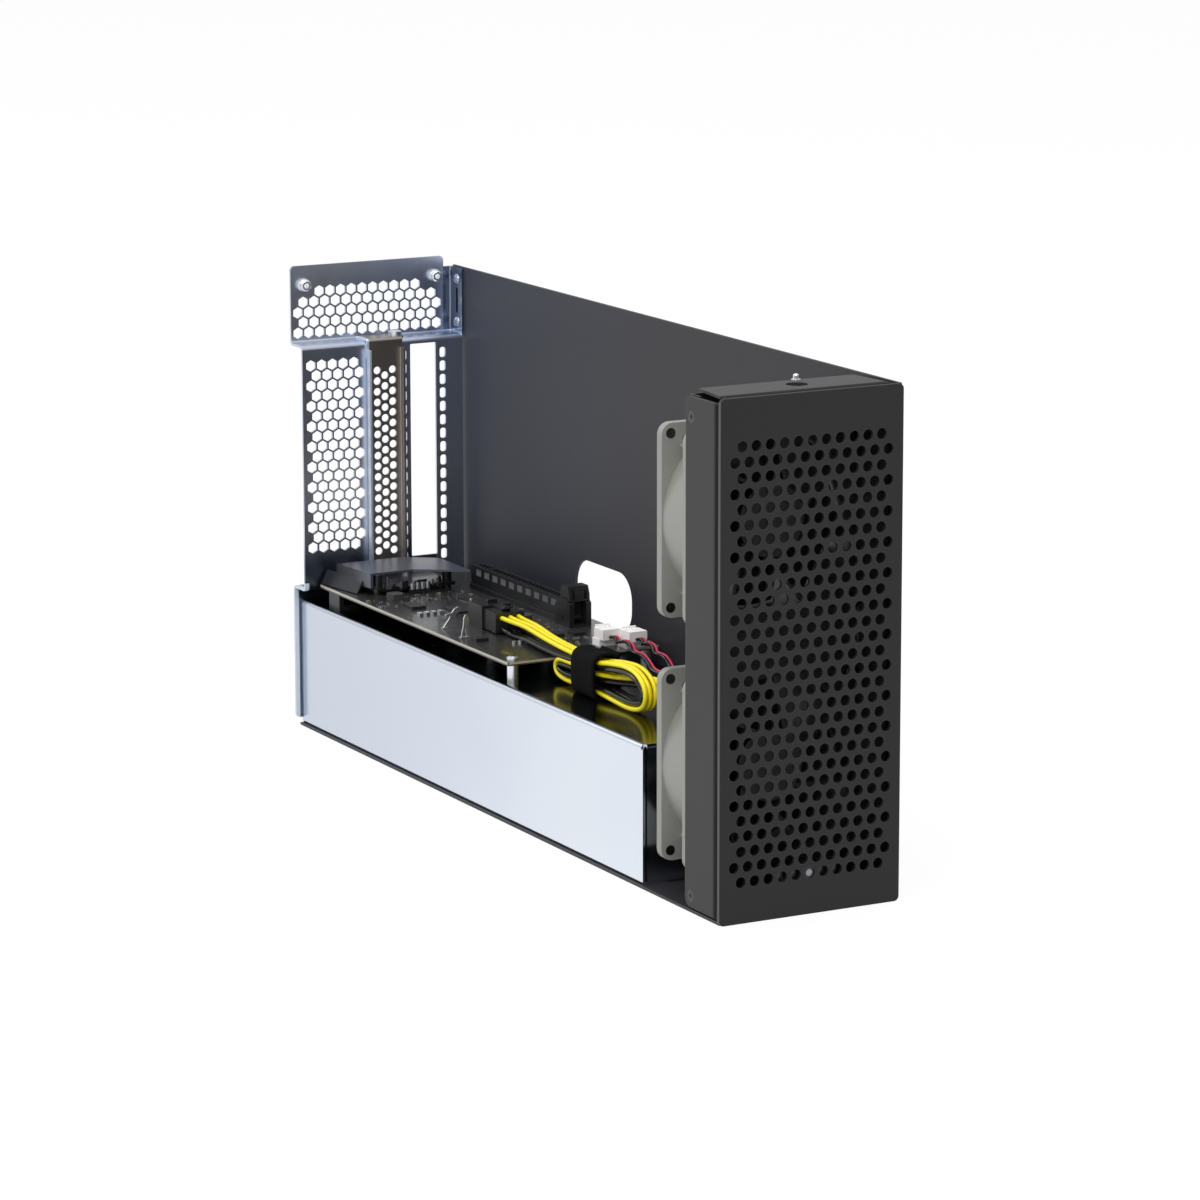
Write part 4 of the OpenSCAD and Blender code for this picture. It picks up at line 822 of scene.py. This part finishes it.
def blocks(name, items, material):
    """Small boxes as one mesh; an item is a centre and a size in mm and a turn in degrees."""
    bm = bmesh.new()
    for centre, size, turn in items:
        spin = Matrix.Rotation(math.radians(turn), 4, "Z")
        shape = Matrix.Diagonal([v / 1000 for v in size] + [1])
        place = Matrix.Translation(chassis_point(centre))
        bmesh.ops.create_cube(bm, size=1.0, matrix=place @ spin @ shape)
    piece = finished(name, bm, material)


# %% Chip legs
board_top = 69.5
leads = []
for x, y, size, count in ((36, 300.1, 14, 22), (50, 318.1, 9, 14), (39.6, 218, 7, 8)):
    for i in range(count):
        along = (i - (count - 1) / 2) * (size - 1.6) / (count - 1)
        for side in (-1, 1):
            out, leg_z = side * (size / 2 + 0.45), board_top + 0.25
            if size > 8:
                leads.append(((x + out, y + along, leg_z), (0.9, 0.24, 0.3), 0))
            leads.append(((x + along, y + out, leg_z), (0.24, 0.9, 0.3), 0))
blocks("chip_legs", leads, tin)

# %% Passive parts
taken = [
    (23.5, 244, 41.5, 277), (59, 239, 74, 348), (13, 344, 60, 388), (27.5, 291.5, 44.5, 308.5),
    (44, 312, 56, 324), (15.5, 312, 24.5, 324), (10, 236.5, 18, 243.5), (44.5, 228, 51.5, 236),
    (33, 212, 46, 224), (54, 228, 62, 236), (45.6, 295.7, 54.4, 304.5), (45.6, 263.7, 54.4, 272.5),
    (15.6, 333.7, 24.4, 342.5), (5, 194.5, 13, 203), (70, 194, 79.4, 203), (42.5, 288.5, 50.5, 297),
    (70.5, 288.5, 79, 297), (70.5, 358, 79, 366.5), (9, 268.5, 21, 273.5), (7, 246.5, 14.5, 252),
    (52, 202, 65, 213), (61, 194, 73, 202), (30.5, 343.5, 43, 348.5), (13, 299, 27.5, 304.5),
    (47, 285, 61, 290), (23, 225, 36, 230)]
rng = random.Random(11)
bodies, tans, caps = [], [], []
tries, most_caps, most_tries = 0, 220, 4000
while len(caps) < most_caps and tries < most_tries:
    tries += 1
    x, y = rng.uniform(48, 60), rng.uniform(196, 342)
    if rng.random() < 0.35:
        x, y = rng.uniform(6.5, 56), rng.uniform(322, 342)
    long, wide, high = rng.choice(((1.0, 0.5, 0.45), (1.6, 0.8, 0.6), (2.0, 1.25, 0.9)))
    count = rng.choice((1, 1, 2, 3, 4))
    gap = wide + 0.7
    turn = rng.choice((0, 90))
    span = gap * count / 2 + long
    if any(a - span < x < c + span * 0.6 and b - span < y < d + span * 0.6
           for a, b, c, d in taken):
        continue
    taken.append((x - span, y - span, x + span, y + span))
    kind = rng.random()
    for i in range(count):
        step = (i - (count - 1) / 2) * gap
        px, py = (x, y + step) if turn == 0 else (x + step, y)
        middle_z = board_top + high / 2
        part = tans if kind < 0.45 else bodies
        part.append(((px, py, middle_z), (long * 0.62, wide, high), turn))
        for side in (-1, 1):
            ex, ey = (long * 0.4 * side, 0) if turn == 0 else (0, long * 0.4 * side)
            cap_size = (long * 0.2, wide + 0.02, high + 0.02)
            caps.append(((px + ex, py + ey, middle_z), cap_size, turn))
ceramic = moulded("ceramic body", shade("#8f7a5e"), 0.4, 0.05)
blocks("chip_resistors", bodies, package)
blocks("ceramic_capacitors", tans, ceramic)
blocks("soldered_ends", caps, tin)
print("passive parts:", len(bodies) + len(tans))

# %% Card connector ribs and contacts
ribs, gilt = [], []
connector_x, connector_y0, connector_top = 66.3, 256.1, 80.7
group_step, rib_step, contact_step = 8.3, 1.1, 3.1
for i in range(10):
    for k in range(5):
        y = connector_y0 + 4.2 + i * group_step + rib_step / 2 + k * rib_step
        for side in (-1, 1):
            ribs.append(((connector_x + side * 3.35, y, connector_top - 2.8), (0.5, 0.42, 3.0), 0))
for i in range(27):
    for side in (-1, 1):
        y = connector_y0 + 3.8 + i * contact_step
        gilt.append(((connector_x + side * 1.6, y, connector_top - 0.9), (0.9, 0.5, 0.5), 0))
rib_plastic = moulded("rib plastic", shade("#77777c"), 0.4, 0.08)
blocks("connector_ribs", ribs, rib_plastic)
blocks("connector_contacts", gilt, gold_blade)
print("connector ribs:", len(ribs))

# %% Parts under the shield
glints, darks = [], []
module_top, post_foot = 72.7, 72.2
for _ in range(34):
    x, y = rng.uniform(17, 55), 349.6 + rng.uniform(0, 7)
    high = rng.uniform(0.5, 1.6)
    kind = glints if rng.random() < 0.4 else darks
    kind.append(((x, y, module_top + high / 2), (rng.uniform(0.6, 2.2), 1.0, high), 0))
for x, y, z in ((21, 348.6, 78.2), (22.5, 348.6, 77.2), (28, 348.6, 75.6), (44.4, 348.6, 75)):
    glints.append(((x, y, (z + post_foot) / 2), (0.9, 0.5, z - post_foot), 10))
blocks("module_parts_bright", glints, bright_steel)
blocks("module_parts_dark", darks, package)

# %% Painted shade in screw recesses, and header pins
recess_shade, pins = [], []
# Dark crosses on the screw heads are painted shade in their recesses.
for x, y in ((9, 198.6), (74.8, 198.6), (46.4, 292.55), (74.8, 292.55), (74.8, 362.1)):
    for turn in (20, 110):
        recess_shade.append(((x, y, board_top + 1.62), (2.6, 0.5, 0.5), turn))
for i in (-1, 0, 1):
    for side in (-1, 1):
        pins.append(((32.5 + i * 4.2, 260.6, 74.7 + side * 2.1), (0.9, 6, 0.9), 0))
blocks("screw_recess_shade", recess_shade, screw_black)
recess_shade = [((0.61, 26, z), (0.24, long, high), 0)
          for z in (6.5, 202.2) for long, high in ((2.6, 0.5), (0.5, 2.6))]
blocks("flange_screw_recess_shade", recess_shade, screw_black)
blocks("header_pins", pins, gold_blade)
blocks("header_tab", [((27.2, 274.6, board_top + 5.7), (0.8, 1.2, 11.4), 0),
                      ((28.4, 274.6, board_top + 6.4), (2.6, 1.2, 0.8), 0)], tin)
print("small parts made")

# %% Fan screw ends
bm = bmesh.new()
end_r, end_l, end_y = 0.0019, 0.0034, 53.2
along_y = Matrix.Rotation(math.radians(90), 4, "X")
for z in (18.85, 90.35, 119.85, 191.35):
    for x in (5.65, 77.15):
        place = Matrix.Translation(chassis_point((x, end_y, z))) @ along_y
        bmesh.ops.create_cone(bm, cap_ends=True, segments=20, radius1=end_r, radius2=end_r,
                              depth=end_l, matrix=place)
ends = finished("fan_screw_ends", bm, screw_grey)
print("fan screw ends made:", len(ends.data.polygons), "faces")
